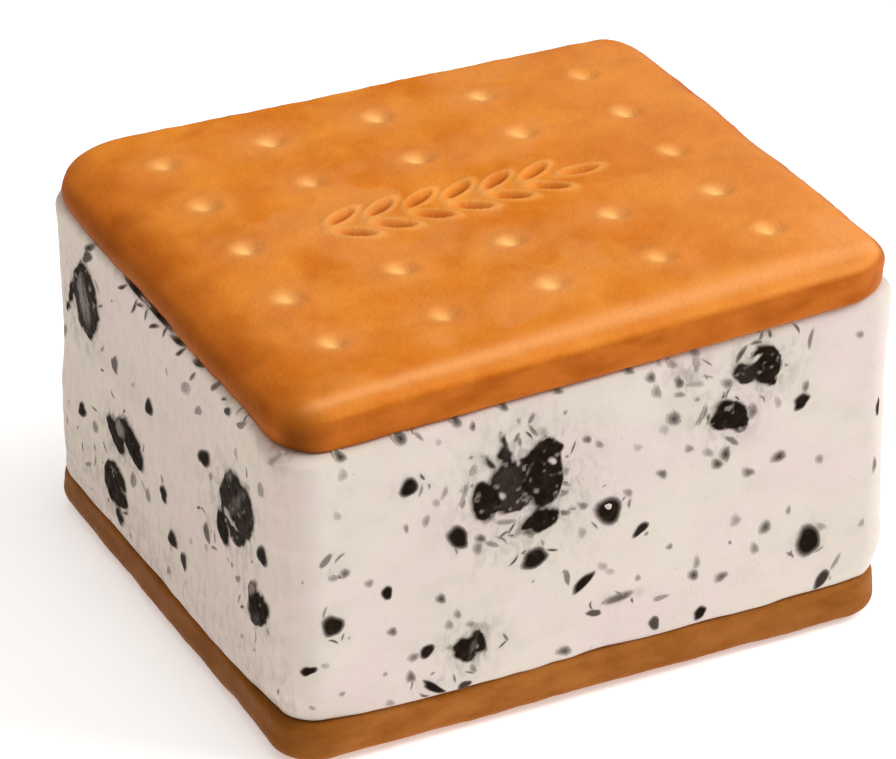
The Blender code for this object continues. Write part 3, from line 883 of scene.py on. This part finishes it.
def make_chunk(name, side, lobes, paint, seed):
    """A chunk of cookie lying in a wall. Over a grid in the plane of the wall, each lobe gives about how far
    inside its ellipse a point is. The depth inside them all is their soft maximum, k log of the sum of
    e to the depth / k, and noise makes its outline ragged. The sheet stands proud of the wall by a curve of
    that depth and dips under the cream outside it, and behind it closes to one deep point. The film is
    whole at the outline, thins out inward, and takes the grey of each lobe in turn."""
    low, high = (np.array(corner) - (*MIDDLE[:2], 0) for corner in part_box(name))
    axis = 0 if side in (FRONT, BACK) else 1
    middle_t = (low[axis] + high[axis]) / 2 * ALONG_TO_T[side]
    middle_z = (low[2] + high[2]) / 2
    across, up, length, breadth = (values[:, None, None] * MM for values in np.array(lobes, float).T[:4])
    slant, grey = (values[:, None, None] for values in np.array(lobes, float).T[4:])
    turn = np.radians(slant)
    reach_u = np.hypot(length * np.cos(turn), breadth * np.sin(turn)) / 2
    reach_v = np.hypot(length * np.sin(turn), breadth * np.cos(turn)) / 2
    sides_u = (across - reach_u).min() - CHUNK_MARGIN, (across + reach_u).max() + CHUNK_MARGIN
    sides_v = (up - reach_v).min() - CHUNK_MARGIN, (up + reach_v).max() + CHUNK_MARGIN
    u, v = np.meshgrid(*(np.linspace(*ends, int(np.ptp(ends) / CHUNK_CELL)) for ends in (sides_u, sides_v)))

    off_u, off_v = u - across, v - up
    lengthways = (off_u * np.cos(turn) + off_v * np.sin(turn)) / (length / 2)
    crossways = (off_v * np.cos(turn) - off_u * np.sin(turn)) / (breadth / 2)
    spots = np.stack([u, v, np.zeros_like(u)], axis=-1)
    ragged = 0.24 * MM * layered(spots, 1.25 * MM, 3, seed) + LOBE_GROWTH * (grey < GAP_GREY)
    depths = (1 - np.hypot(lengthways, crossways)) * np.minimum(length, breadth) / 2 + ragged
    solid = depths[(grey < GAP_GREY).ravel()]
    inside = LOBE_BLEND * np.log(np.exp(solid / LOBE_BLEND).sum(axis=0))
    margin = np.minimum.reduce([u - sides_u[0], sides_u[1] - u, v - sides_v[0], sides_v[1] - v])
    inside = np.minimum(inside, margin - 0.7 * MM)

    grain = 1 + 0.5 * layered(spots, 0.7 * MM, 2, seed + 2)
    proud = CHUNK_PROUD * grain * (1 - np.exp(-np.maximum(inside, 0) / (0.5 * MM)))
    out = np.where(inside > 0, proud + 0.02 * MM, np.maximum(inside * 0.7, -0.6 * MM))
    face = wall(np.full(u.shape, side), middle_t + u, middle_z + v, out)
    back = wall(side, (middle_t,), (middle_z,), -CHUNK_DEPTH)
    numbers = np.arange(u.size).reshape(u.shape)
    points = np.concatenate([face.reshape(-1, 3), back])
    faces = [sheet(numbers), cap(border(numbers), u.size, up=False)]

    soft = FILM_EDGE * (1 + 0.5 * layered(spots, 1.1 * MM, 2, seed + 5))
    veiled = (grey > 0) & (grey < GAP_GREY)
    film = np.zeros(u.shape)
    for depth, level, width in zip(depths, grey.ravel(), soft * np.where(veiled, 2.4, 1.0)):
        film += (level**GREY_POWER - film) * ease((depth + 0.1 * MM) / width)
    film = np.maximum(film, 0.3 * ease(layered(spots, 0.8 * MM, 2, seed + 6) * 2 - 0.9))
    film = 1 - (1 - film) * ease((inside + 0.04 * MM) / soft)
    smear = smeared_and_shaded(side, middle_t + u, middle_z + v) * (1 - ease(inside / (0.5 * MM)))
    layers = {"film": np.append(film, 1.0), "smear": np.append(smear, 0.0)}
    add_piece(name.replace("chunk", "cookie"), points, faces, paint, layers, [name])


# The crumbs that have their own place: along, z, length and breadth in millimetres, the slant of the length
# in degrees, and how grey
CRUMBS = {
    FRONT: (
        (-23.4, 33.3, 2.6, 1.9, 50, 0),
        (-31.1, 36.9, 1.2, 0.9, -80, 0.75),
        (-31.8, 32.0, 1.0, 0.7, -80, 0.8),
        (-23.6, 28.1, 1.0, 0.5, -85, 0.55),
        (-21.2, 28.4, 1.3, 0.7, 85, 0.65),
        (-19.0, 31.4, 1.4, 0.5, 65, 0.7),
        (-20.0, 30.4, 0.9, 0.7, -70, 0.75),
        (-33.3, 26.7, 2.2, 0.8, 45, 0.6),
        (-31.0, 24.5, 1.1, 1.0, -45, 0.4),
        (-32.3, 24.3, 1.2, 0.6, -5, 0.65),
        (-28.0, 22.3, 1.0, 0.8, -55, 0.6),
        (-25.9, 20.5, 1.9, 1.2, 90, 0.05),
        (-19.4, 18.0, 1.2, 0.9, -65, 0.15),
        (-32.6, 18.3, 3.0, 2.4, -65, 0),
        (-25.2, 15.3, 1.0, 0.9, -25, 0.35),
        (-21.2, 11.8, 2.0, 1.4, 50, 0.1),
        (-22.8, 11.5, 1.1, 0.9, 20, 0.5),
        (-23.2, 9.1, 1.3, 1.0, -75, 0.35),
        (-20.5, 7.0, 3.5, 0.9, -40, 0.1),
        (-16.7, 6.2, 1.8, 1.0, 15, 0.3),
        (-35.9, 13.1, 2.2, 1.2, 10, 0.05),
        (-17.4, 15.5, 1.0, 0.7, -70, 0.6),
        (-18.4, 14.4, 1.1, 0.8, -65, 0.65),
        (-15.8, 13.8, 1.1, 0.7, -30, 0.65),
        (-14.1, 12.9, 1.4, 1.0, -45, 0.85),
        (-15.6, 8.0, 1.0, 0.7, -70, 0.6),
        (-25.7, 6.4, 1.0, 0.7, -15, 0.7),
        (-17.4, 25.3, 3.4, 2.2, -55, 0),
        (-14.6, 24.4, 1.2, 0.9, -40, 0.3),
        (-14.9, 23.3, 1.4, 1.0, 85, 0.6),
        (-8.1, 20.2, 3.4, 2.4, 15, 0),
        (-10.0, 23.9, 1.5, 0.7, 35, 0.8),
        (1.0, 23.9, 3.7, 3.1, -75, 0),
        (0.9, 24.5, 0.8, 0.6, -20, 0.91),
        (-2.2, 25.4, 1.1, 0.8, -20, 0.5),
        (-2.2, 22.0, 1.2, 0.8, -70, 0.75),
        (-2.0, 15.4, 3.3, 1.3, 40, 0.05),
        (-4.0, 16.6, 2.0, 0.7, -85, 0.6),
        (0.5, 16.8, 1.1, 0.8, -40, 0.75),
        (1.4, 15.9, 1.1, 0.7, -30, 0.8),
        (5.0, 14.0, 0.8, 0.6, -65, 0.65),
        (-0.5, 10.9, 2.0, 0.9, -10, 0.4),
        (-4.1, 6.9, 1.5, 1.1, -10, 0.3),
        (3.5, 25.5, 1.1, 0.8, -40, 0.6),
        (5.1, 20.4, 2.2, 1.2, 45, 0.15),
        (17.4, 18.1, 1.2, 1.1, 35, 0.7),
        (20.0, 13.7, 1.3, 0.9, -70, 0.6),
        (12.2, 12.3, 1.4, 1.0, -70, 0.1),
        (12.6, 13.8, 1.5, 0.7, 80, 0.65),
        (15.8, 11.1, 1.6, 0.9, 15, 0.35),
        (8.0, 10.5, 1.9, 0.7, 5, 0.7),
        (7.3, 7.3, 1.8, 1.3, -75, 0.35),
        (13.1, 7.1, 1.9, 1.4, 50, 0.05),
        (22.6, 25.1, 1.5, 1.3, 10, 0.1),
        (28.0, 23.3, 1.1, 0.8, -50, 0.65),
        (18.7, 24.1, 1.4, 1.0, -30, 0.45),
        (35.8, 20.5, 1.5, 0.8, 85, 0.45),
        (21.3, 16.1, 1.6, 1.2, 65, 0.3),
        (24.3, 17.5, 1.0, 0.5, 90, 0.6),
        (27.0, 12.8, 3.9, 3.2, -70, 0),
        (28.6, 14.2, 1.3, 0.9, -30, 0.7),
        (29.0, 7.1, 2.7, 1.4, 45, 0.25),
        (6.0, 39.4, 1.3, 1.0, -50, 0.35),
        (6.8, 37.4, 1.4, 1.0, -60, 0.6),
        (9.6, 37.8, 1.2, 0.9, -75, 0.35),
        (9.7, 36.3, 1.2, 0.6, -20, 0.6),
        (8.7, 40.3, 1.2, 0.8, -30, 0.65),
        (11.6, 40.9, 1.2, 0.8, -30, 0.6),
        (11.7, 39.7, 1.9, 0.9, -85, 0.8),
        (11.8, 37.1, 1.7, 0.7, -15, 0.75),
        (8.9, 33.6, 1.7, 1.3, -50, 0.3),
        (7.8, 32.5, 1.1, 1.0, 80, 0.8),
        (15.7, 36.2, 1.4, 1.0, -40, 0.5),
        (19.0, 31.9, 1.6, 1.0, -85, 0.5),
        (11.0, 29.2, 1.0, 0.8, -50, 0.6),
        (13.5, 28.0, 1.3, 0.9, -40, 0.7),
        (16.4, 28.8, 1.8, 0.7, -45, 0.6),
        (15.7, 27.2, 1.6, 1.2, 90, 0.1),
        (14.7, 26.2, 1.3, 1.1, -45, 0.2),
        (7.7, 26.8, 1.3, 0.9, -40, 0.4),
        (4.5, 31.1, 1.0, 0.7, -35, 0.8),
        (22.3, 32.1, 1.2, 0.7, -75, 0.75),
        (25.3, 31.4, 2.3, 1.7, 30, 0),
        (25.8, 33.2, 1.4, 0.7, 85, 0.5),
        (32.5, 38.2, 1.0, 0.7, -35, 0.6),
        (36.0, 27.9, 2.3, 0.8, 90, 0.25),
        (-31.2, 40.6, 1.2, 0.8, -20, 0.1),
        (-24.1, 40.9, 1.4, 1.0, -5, 0.1),
        (-22.0, 39.1, 1.1, 0.4, -50, 0.6),
        (-17.4, 40.5, 1.2, 0.9, -40, 0.3),
        (-11.7, 40.8, 1.0, 0.7, -30, 0.35),
        (-5.2, 40.8, 1.1, 0.5, -10, 0.4),
        (3.4, 41.1, 1.2, 0.6, -10, 0.4),
        (-15.6, 38.7, 1.0, 0.6, -85, 0.35),
        (-1.8, 33.7, 1.0, 0.8, -50, 0.4),
        (-0.3, 32.7, 0.9, 0.7, -50, 0.6),
        (-7.2, 36.0, 1.3, 0.9, -30, 0.82),
        (-4.4, 30.4, 1.1, 0.6, -60, 0.7),
        (-4.5, 25.1, 1.6, 0.6, -20, 0.45),
    ),
    LEFT: (
        (22.9, 17.4, 3.0, 1.6, 40, 0),
        (12.4, 28.7, 2.1, 1.9, 50, 0.5),
        (2.7, 28.1, 2.1, 2.0, 70, 0.15),
        (19.0, 17.1, 1.8, 1.4, 45, 0.7),
        (-11.3, 34.8, 2.6, 0.9, 30, 0.7),
        (-19.5, 39.0, 2.2, 0.8, 40, 0.35),
        (-22.9, 39.0, 2.4, 0.8, 30, 0.6),
        (28.1, 25.4, 2.2, 1.2, 55, 0.7),
        (-12.6, 29.5, 3.6, 2.0, 30, 0),
        (-1.1, 18.8, 2.4, 1.9, 30, 0.1),
        (3.6, 16.1, 1.8, 1.5, 60, 0.7),
        (7.9, 15.8, 2.1, 1.4, 65, 0.7),
        (-3.3, 14.0, 2.8, 2.0, 25, 0.15),
        (-6.3, 12.8, 2.5, 1.6, 70, 0.25),
        (-27.7, 25.2, 3.1, 2.4, 30, 0.05),
        (-28.1, 33.7, 2.0, 1.4, 55, 0.75),
        (-20.6, 18.3, 1.9, 0.7, 35, 0.7),
        (-1.3, 8.7, 1.8, 0.8, 40, 0.75),
        (21.7, 10.7, 2.2, 0.5, 30, 0.7),
        (-12.8, 20.0, 2.4, 1.5, -85, 0.5),
        (-30.9, 39.6, 1.6, 0.8, 40, 0.75),
        (19.5, 39.2, 3.7, 1.2, 35, 0.4),
    ),
}
CRUMBS_STREWN = 88  # on each of the walls at the right and the back
FLECKS_STREWN = {FRONT: 30, RIGHT: 75, BACK: 75, LEFT: 35}
FLECK_LENGTH = 1.7 * MM  # crumbs shorter than this are made as flecks, of fewer faces

# The rings of a lens, as the angles in degrees between its front and their points
CRUMB_RINGS = np.radians((20, 38, 53, 66, 78, 90, 135))
FLECK_RINGS = np.radians((36, 60, 90, 130))
# How much wider a lens is than the dark on it, from which part of its radius the film thickens, and with
# which power
CRUMB_SOFTNESS = (1.14, 0.66, 2.0)
FLECK_SOFTNESS = (1.45, 0.3, 1.3)
BEAD_GREY = 0.9  # crumbs greyer than this are beads of cream, which stand on the cookie under them
BEAD_PROUD = 0.2 * MM


def lens_pieces(rows, rings, softness, columns, rng):
    """Closed lenses lying in the walls, all at once, from rows of wall, along, z, length, breadth, slant and
    grey. A ring at the angle q from the front stands sin q times an uneven radius from the middle, and cos q
    times a small height in front of the wall or, behind it, a depth. The radius is 1 plus three waves round
    the ring, of random size and phase. The film is the crumb's own in the middle and whole at the edge."""
    side = rows[:, 0].astype(int)
    along, z, length, breadth = rows[:, 1:5].T * MM
    slant, grey = np.radians(rows[:, 5]), rows[:, 6]
    t = along * ALONG_TO_T[side]
    count = len(rows)
    polar = rings[None, :, None]
    around = np.linspace(0, 2 * math.pi, columns, endpoint=False)[None, None, :]
    spread, film_start, film_power = softness
    radius = np.full((count, 1, columns), spread / 2)
    for waves, size in ((2, 0.12), (3, 0.15), (5, 0.07)):
        strength = rng.uniform(0.3, 1.0, (count, 1, 1)) * size * spread / 2
        radius = radius + strength * np.cos(waves * around + rng.uniform(0, 6.3, (count, 1, 1)))
    lengthways = np.sin(polar) * radius * np.cos(around) * length[:, None, None]
    crossways = np.sin(polar) * radius * np.sin(around) * breadth[:, None, None]
    turn = slant[:, None, None]
    u = lengthways * np.cos(turn) - crossways * np.sin(turn)
    v = lengthways * np.sin(turn) + crossways * np.cos(turn)
    front = 0.04 * MM + 0.04 * breadth + BEAD_PROUD * (grey > BEAD_GREY)
    behind = np.minimum(breadth / 2, 0.6 * MM)
    out = np.where(np.cos(polar) > 0, front[:, None, None], behind[:, None, None]) * np.cos(polar) + 0 * u
    bodies = wall(side[:, None, None], t[:, None, None] + u, z[:, None, None] + v, out)
    tips = np.stack([wall(side, t, z, front), wall(side, t, z, -behind)], axis=1)
    points = np.concatenate([bodies.reshape(count, -1, 3), tips], axis=1)

    bare = grey[:, None] ** SMALL_GREY_POWER
    covered = np.clip((np.sin(rings) - film_start) / (1 - film_start), 0, 1) ** film_power
    covered = np.where(np.cos(rings) < -0.01, 1.0, covered)
    film = np.repeat(bare + (1 - bare) * covered, columns, axis=1)
    film = np.concatenate([film, bare, np.ones_like(bare)], axis=1)
    smear = smeared_and_shaded(side[:, None, None], t[:, None, None] + u, z[:, None, None] + v).reshape(count, -1)
    smear = np.concatenate([smear, smear[:, :2]], axis=1) * (grey < BEAD_GREY)[:, None]

    numbers = np.arange(len(rings) * columns).reshape(-1, columns)[::-1]
    tip = numbers.size
    caps = np.concatenate([cap(numbers[-1], tip, up=True), cap(numbers[0], tip + 1, up=False)])
    starts = np.arange(count)[:, None, None] * points.shape[1]
    faces = [(band(numbers) + starts).reshape(-1, 4), (caps + starts).reshape(-1, 3)]
    return points.reshape(-1, 3), faces, {"film": film.ravel(), "smear": smear.ravel()}


def strewn_crumbs(side, count, rng):
    """Rows of crumbs strewn over a wall, many small and few large. The large ones are black, the small ones
    mostly grey, and most of them slant."""
    half = HALF_WALL[side] / MM
    along = rng.uniform(-0.95, 0.95, count) * half
    z = rng.uniform(7.0, 37.5, count)
    length = 0.8 + 2.7 * rng.random(count) ** 4
    breadth = length * rng.uniform(0.4, 0.85, count)
    grey = np.clip(rng.uniform(0.25, 0.95, count) - 0.45 * (length - 0.9), 0, 0.8)
    slant = rng.normal(50, 35, count)
    return np.stack([np.full(count, side), along, z, length, breadth, slant, grey], axis=1)


def strewn_flecks(side, count, rng):
    """Rows of the faintest flecks: half of them anywhere on a wall, half gathered round its smears."""
    near = np.array([smear for smear in smears() if smear[0] == side], float)
    picked = near[rng.integers(0, len(near), count // 2)]
    spread = rng.normal(0, 3.2, (len(picked), 2))
    half = HALF_WALL[side] / MM
    anywhere = rng.uniform((-half, 6.5), (half, 39.0), (count - len(picked), 2))
    along, z = np.concatenate([picked[:, 1:3] + spread, anywhere]).T
    length = 0.4 + 0.7 * rng.random(count) ** 2
    breadth = length * rng.uniform(0.45, 0.95, count)
    grey = rng.uniform(0.45, 0.85, count)
    slant = rng.normal(50, 40, count)
    return np.stack([np.full(count, side), along, z, length, breadth, slant, grey], axis=1)


def on_the_wall(rows):
    """The rows whose middle lies above the lower biscuit and within its own wall, each pulled down, where it
    must be, to lie under the upper biscuit."""
    side = rows[:, 0].astype(int)
    high = block_ends(side, rows[:, 1] * MM * ALONG_TO_T[side])[1]
    rows[:, 2] = np.minimum(rows[:, 2], (high - 0.35 * MM) / MM)
    return rows[(rows[:, 2] * MM > BISCUIT_THICK + 0.3 * MM) & (abs(rows[:, 1]) * MM < HALF_WALL[side])]


def make_crumbs_and_flecks(paint):
    """All the crumbs: the larger ones as one piece, and the finest as another, of fewer faces each."""
    rng = np.random.default_rng(77)
    rows = [np.array(placed(CRUMBS), float)]
    rows += [strewn_crumbs(side, CRUMBS_STREWN, rng) for side in (RIGHT, BACK)]
    rows += [strewn_flecks(side, count, rng) for side, count in FLECKS_STREWN.items()]
    rows = on_the_wall(np.concatenate(rows))
    large = rows[:, 3] * MM > FLECK_LENGTH
    for name, kept, rings, softness, columns in (
        ("cookie_crumbs", large, CRUMB_RINGS, CRUMB_SOFTNESS, 18),
        ("cookie_flecks", ~large, FLECK_RINGS, FLECK_SOFTNESS, 11),
    ):
        points, faces, layers = lens_pieces(rows[kept], rings, softness, columns, rng)
        add_piece(name, points, faces, paint, layers)


# Thin streaks: along and z of the middle, length and width in millimetres, slant and bend in degrees, and
# how grey
STREAKS = {
    FRONT: (
        (2.6, 12.1, 4.5, 1.0, 6, 10, 0.5),
        (30.8, 9.0, 2.6, 0.5, 60, 0, 0.7),
        (12.4, 33.2, 2.9, 0.6, 60, 40, 0.75),
        (26.1, 39.3, 3.0, 0.5, 85, -35, 0.6),
        (-13.2, 23.3, 2.4, 0.6, -30, 10, 0.7),
        (-8.5, 37.9, 1.6, 0.5, 60, 0, 0.65),
        (-10.3, 36.0, 1.4, 0.45, 60, 0, 0.55),
        (-35.4, 7.9, 1.3, 0.5, -20, 0, 0.75),
        (-33.5, 13.5, 1.3, 0.6, -20, 0, 0.8),
        (-4.5, 27.5, 1.3, 0.5, 15, 20, 0.7),
        (-4.3, 28.6, 1.2, 0.45, -20, 0, 0.7),
        (-11.9, 34.4, 2.2, 0.6, 110, -20, 0.6),
        (-3.5, 25.3, 1.3, 0.4, -5, 0, 0.75),
        (-16.6, 30.6, 3.0, 0.45, 62, 30, 0.75),
        (-8.3, 36.4, 2.2, 0.5, -60, 30, 0.6),
        (-6.9, 35.3, 1.7, 0.45, -65, 0, 0.55),
        (-10.0, 35.5, 1.5, 0.5, -75, 0, 0.65),
        (-12.1, 36.3, 2.2, 0.55, -80, 20, 0.35),
        (-4.4, 30.5, 1.1, 0.4, -10, 0, 0.6),
        (-4.5, 28.9, 1.2, 0.4, -20, 0, 0.6),
        (-4.7, 27.8, 1.2, 0.4, -30, 0, 0.65),
        (-11.5, 25.7, 3.0, 0.6, -10, 20, 0.7),
        (-15.5, 33.3, 1.6, 0.8, 60, 0, 0.8),
        (-16.5, 31.1, 1.5, 0.6, 80, 0, 0.7),
        (-16.8, 29.5, 1.5, 0.6, 85, 0, 0.65),
        (-5.9, 33.1, 1.2, 0.4, -55, 0, 0.55),
        (17.4, 39.4, 2.7, 0.6, 60, -30, 0.4),
        (19.2, 40.4, 1.7, 0.5, 0, -40, 0.5),
        (22.2, 36.7, 1.3, 0.4, -45, 0, 0.5),
        (12.7, 33.4, 2.1, 0.6, 65, 30, 0.65),
        (16.7, 28.6, 2.0, 0.6, -45, 0, 0.6),
    ),
    LEFT: (
        # The first two are long black streaks under the left rim: partly cookie and partly painted shade for
        # the dark gap
        (6.5, 41.6, 8.5, 0.55, -2, 0, 0),
        (0.0, 41.6, 9.5, 0.6, -2, 0, 0),
        (9.6, 40.1, 3.6, 0.45, 30, 20, 0.25),
        (6.3, 39.2, 4.2, 0.5, 50, 15, 0.3),
        (4.6, 40.2, 2.6, 0.45, 20, 0, 0.4),
        (2.9, 39.8, 2.4, 0.45, 62, 0, 0.45),
        (0.7, 39.4, 3.8, 0.5, 30, -20, 0.2),
        (-2.2, 40.2, 2.6, 0.45, 60, 0, 0.4),
        (-5.6, 40.6, 4.4, 0.7, 8, 10, 0.1),
        (-6.4, 39.7, 3.9, 0.5, 38, 20, 0.25),
        (-11.2, 40.6, 3.2, 0.8, 12, 0, 0.3),
        (-9.9, 38.4, 2.8, 0.5, 45, 0, 0.5),
        (-15.7, 40.0, 2.8, 0.7, 40, 0, 0.5),
        (-19.8, 39.0, 2.2, 0.8, 40, 0, 0.4),
        (18.9, 40.6, 3.6, 0.8, 30, 0, 0.3),
        (19.5, 39.6, 2.3, 0.7, 40, 0, 0.4),
        (-7.9, 35.9, 3.2, 1.1, 30, 0, 0.75),
    ),
}
WISPS = 3  # round each smear
STREAK_SECTIONS = 7


def strip_pieces(rows):
    """Closed strips lying in the walls, all at once, from rows of wall, along, z, length, width, slant, bend
    and grey. A strip's path turns evenly by `bend` over its length, and its width goes as the square root of
    the sine from end to end. Its section has two thin edges under the film, a raised back and a keel."""
    side = rows[:, 0].astype(int)
    along, z, length, width = rows[:, 1:5].T * MM
    slant, bend, grey = np.radians(rows[:, 5]), np.radians(rows[:, 6]), rows[:, 7]
    t = along * ALONG_TO_T[side]
    steps = np.linspace(0, 1, STREAK_SECTIONS)[None, :]
    heading = slant[:, None] + bend[:, None] * (steps - 0.5)
    stride = length[:, None] / (STREAK_SECTIONS - 1)
    path_u = np.cumsum(np.cos(heading), axis=1) * stride
    path_v = np.cumsum(np.sin(heading), axis=1) * stride
    path_u -= path_u.mean(axis=1, keepdims=True)
    path_v -= path_v.mean(axis=1, keepdims=True)
    half = width[:, None] * 0.65 * np.sqrt(0.03 + 0.97 * np.sin(math.pi * steps))
    across = np.array((1, 0.45, -0.45, -1, 0))
    height = np.array((0, 0.05, 0.05, 0, -0.3)) * MM
    u = path_u[..., None] - (np.sin(heading) * half)[..., None] * across
    v = path_v[..., None] + (np.cos(heading) * half)[..., None] * across
    points = wall(side[:, None, None], t[:, None, None] + u, z[:, None, None] + v, height + 0 * u)
    on_back = np.array((0, 1, 1, 0, 0)) * np.sin(math.pi * steps[0])[:, None] ** 0.4
    film = 1 - (1 - grey**SMALL_GREY_POWER)[:, None, None] * on_back
    numbers = np.arange(points.shape[1] * points.shape[2]).reshape(points.shape[1:3])
    ends = np.stack([numbers[0, ::-1], numbers[-1]])
    starts = np.arange(len(rows))[:, None, None] * numbers.size
    faces = [(band(numbers) + starts).reshape(-1, 4), (ends + starts).reshape(-1, len(across))]
    smear = smeared_and_shaded(side[:, None, None], t[:, None, None] + u, z[:, None, None] + v)
    return points.reshape(-1, 3), faces, {"film": film.ravel(), "smear": smear.ravel()}


def make_streaks(paint):
    """Thin streaks of cookie: those with their own place, and wisps round the smears."""
    rng = np.random.default_rng(79)
    rows = placed(STREAKS)
    for place, along, height, wide, tall, _ in smears():
        for angle in rng.uniform(0, 2 * math.pi, WISPS):
            reach = rng.uniform(0.75, 1.15)
            spot_along = along + reach * wide * math.cos(angle) * ALONG_TO_T[place]
            spot_z = height + reach * tall * math.sin(angle)
            slant = math.degrees(angle) + rng.normal(90, 45)
            size = rng.uniform(0.8, 2.0)
            width = rng.uniform(0.22, 0.4)
            bend = rng.normal(0, 45)
            grey = rng.uniform(0.4, 0.75)
            rows.append((place, spot_along, spot_z, size, width, slant, bend, grey))
    points, faces, layers = strip_pieces(on_the_wall(np.array(rows, float)))
    add_piece("cookie_streaks", points, faces, paint, layers)


# ------------------------------------------------------------------ floor, light and camera

VIEW_AZIMUTH = math.radians(-26.46)
VIEW_HEIGHT = math.radians(29.46)
VIEW_DISTANCE = 559.1 * MM
VIEW_LENS = 194.5  # millimetres, on a sensor 36 wide
AIM = np.array((MIDDLE[0] - 1.25 * MM, MIDDLE[1] + 1.09 * MM, 23.25 * MM))


def toward(azimuth, height):
    """The direction to something at an azimuth, 0 being the front and 90 degrees the right, and a height."""
    level = math.cos(height)
    return Vector((math.sin(azimuth) * level, -math.cos(azimuth) * level, math.sin(height)))


def add_floor():
    """A wide floor that the sandwich stands on."""
    half = 3.0
    points = np.array(((-half, -half, 0), (half, -half, 0), (half, half, 0), (-half, half, 0)))
    mesh = bpy.data.meshes.new("floor")
    mesh.from_pydata(points.tolist(), [], [(0, 1, 2, 3)])
    mesh.materials.append(floor_paint())
    floor = bpy.data.objects.new("floor", mesh)
    bpy.context.scene.collection.objects.link(floor)


def add_softbox(name, azimuth, height, distance, size, strength, colour=(1.0, 1.0, 1.0)):
    """A square lamp that faces the sandwich. `strength` is the brightness it gives a white surface that
    faces it, which for a lamp of power P at distance d is P / (pi pi d d)."""
    lamp = bpy.data.lights.new(name, "AREA")
    lamp.size = size
    lamp.energy = strength * (math.pi * distance) ** 2
    lamp.color = colour
    softbox = bpy.data.objects.new(name, lamp)
    back = toward(math.radians(azimuth), math.radians(height))
    softbox.location = Vector(AIM) + back * distance
    softbox.rotation_euler = back.to_track_quat("Z", "Y").to_euler()
    bpy.context.scene.collection.objects.link(softbox)


WARM = (1.0, 0.6, 0.2)


def light_studio():
    """A white room, a key lamp high on the right, a weak one overhead and a warm one low on the left."""
    world = bpy.data.worlds.new("studio")
    world.use_nodes = True
    background = world.node_tree.nodes["Background"]
    background.inputs["Color"].default_value = (1.0, 1.0, 1.0, 1.0)
    background.inputs["Strength"].default_value = 0.27
    bpy.context.scene.world = world
    add_softbox("key", azimuth=62, height=42, distance=1.0, size=0.6, strength=0.75)
    add_softbox("top", azimuth=-20, height=80, distance=1.0, size=1.0, strength=0.40)
    add_softbox("warm", azimuth=-90, height=15, distance=1.0, size=0.8, strength=0.12, colour=WARM)
    bpy.context.scene.view_settings.view_transform = "Standard"


def add_camera():
    camera = bpy.data.cameras.new("camera")
    camera.lens = VIEW_LENS
    camera.sensor_width = 36.0
    camera.clip_start = 0.01
    viewer = bpy.data.objects.new("camera", camera)
    viewer.location = Vector(AIM) + toward(VIEW_AZIMUTH, VIEW_HEIGHT) * VIEW_DISTANCE
    viewer.rotation_euler = Euler((math.pi / 2 - VIEW_HEIGHT, 0, VIEW_AZIMUTH))
    bpy.context.scene.collection.objects.link(viewer)
    bpy.context.scene.camera = viewer


# ------------------------------------------------------------------ everything together

add_camera()
light_studio()
add_floor()
make_upper_biscuit(
    biscuit_paint(
        "biscuit_top",
        golden=(1.0, 0.363, 0.043),
        amber=(0.78, 0.207, 0.009),
        crust_and_shade=(0.55, 0.147, 0.015),
        dark_crust_and_shade=(0.40, 0.09, 0.005),
        burnt_and_shade=(0.18, 0.045, 0.003),
    )
)
make_lower_biscuit(
    biscuit_paint(
        "biscuit_bottom",
        golden=(0.58, 0.19, 0.025),
        amber=(0.46, 0.14, 0.015),
        crust_and_shade=(0.435, 0.15, 0.030),
        dark_crust_and_shade=(0.30, 0.088, 0.010),
        burnt_and_shade=(0.09, 0.035, 0.001),
    )
)
make_ice_cream(ice_cream_paint())
cookie = cookie_paint()
for order, (chunk, (chunk_wall, *chunk_lobes)) in enumerate(CHUNKS.items()):
    make_chunk(chunk, chunk_wall, chunk_lobes, cookie, seed=100 + 11 * order)
make_crumbs_and_flecks(cookie)
make_streaks(cookie)
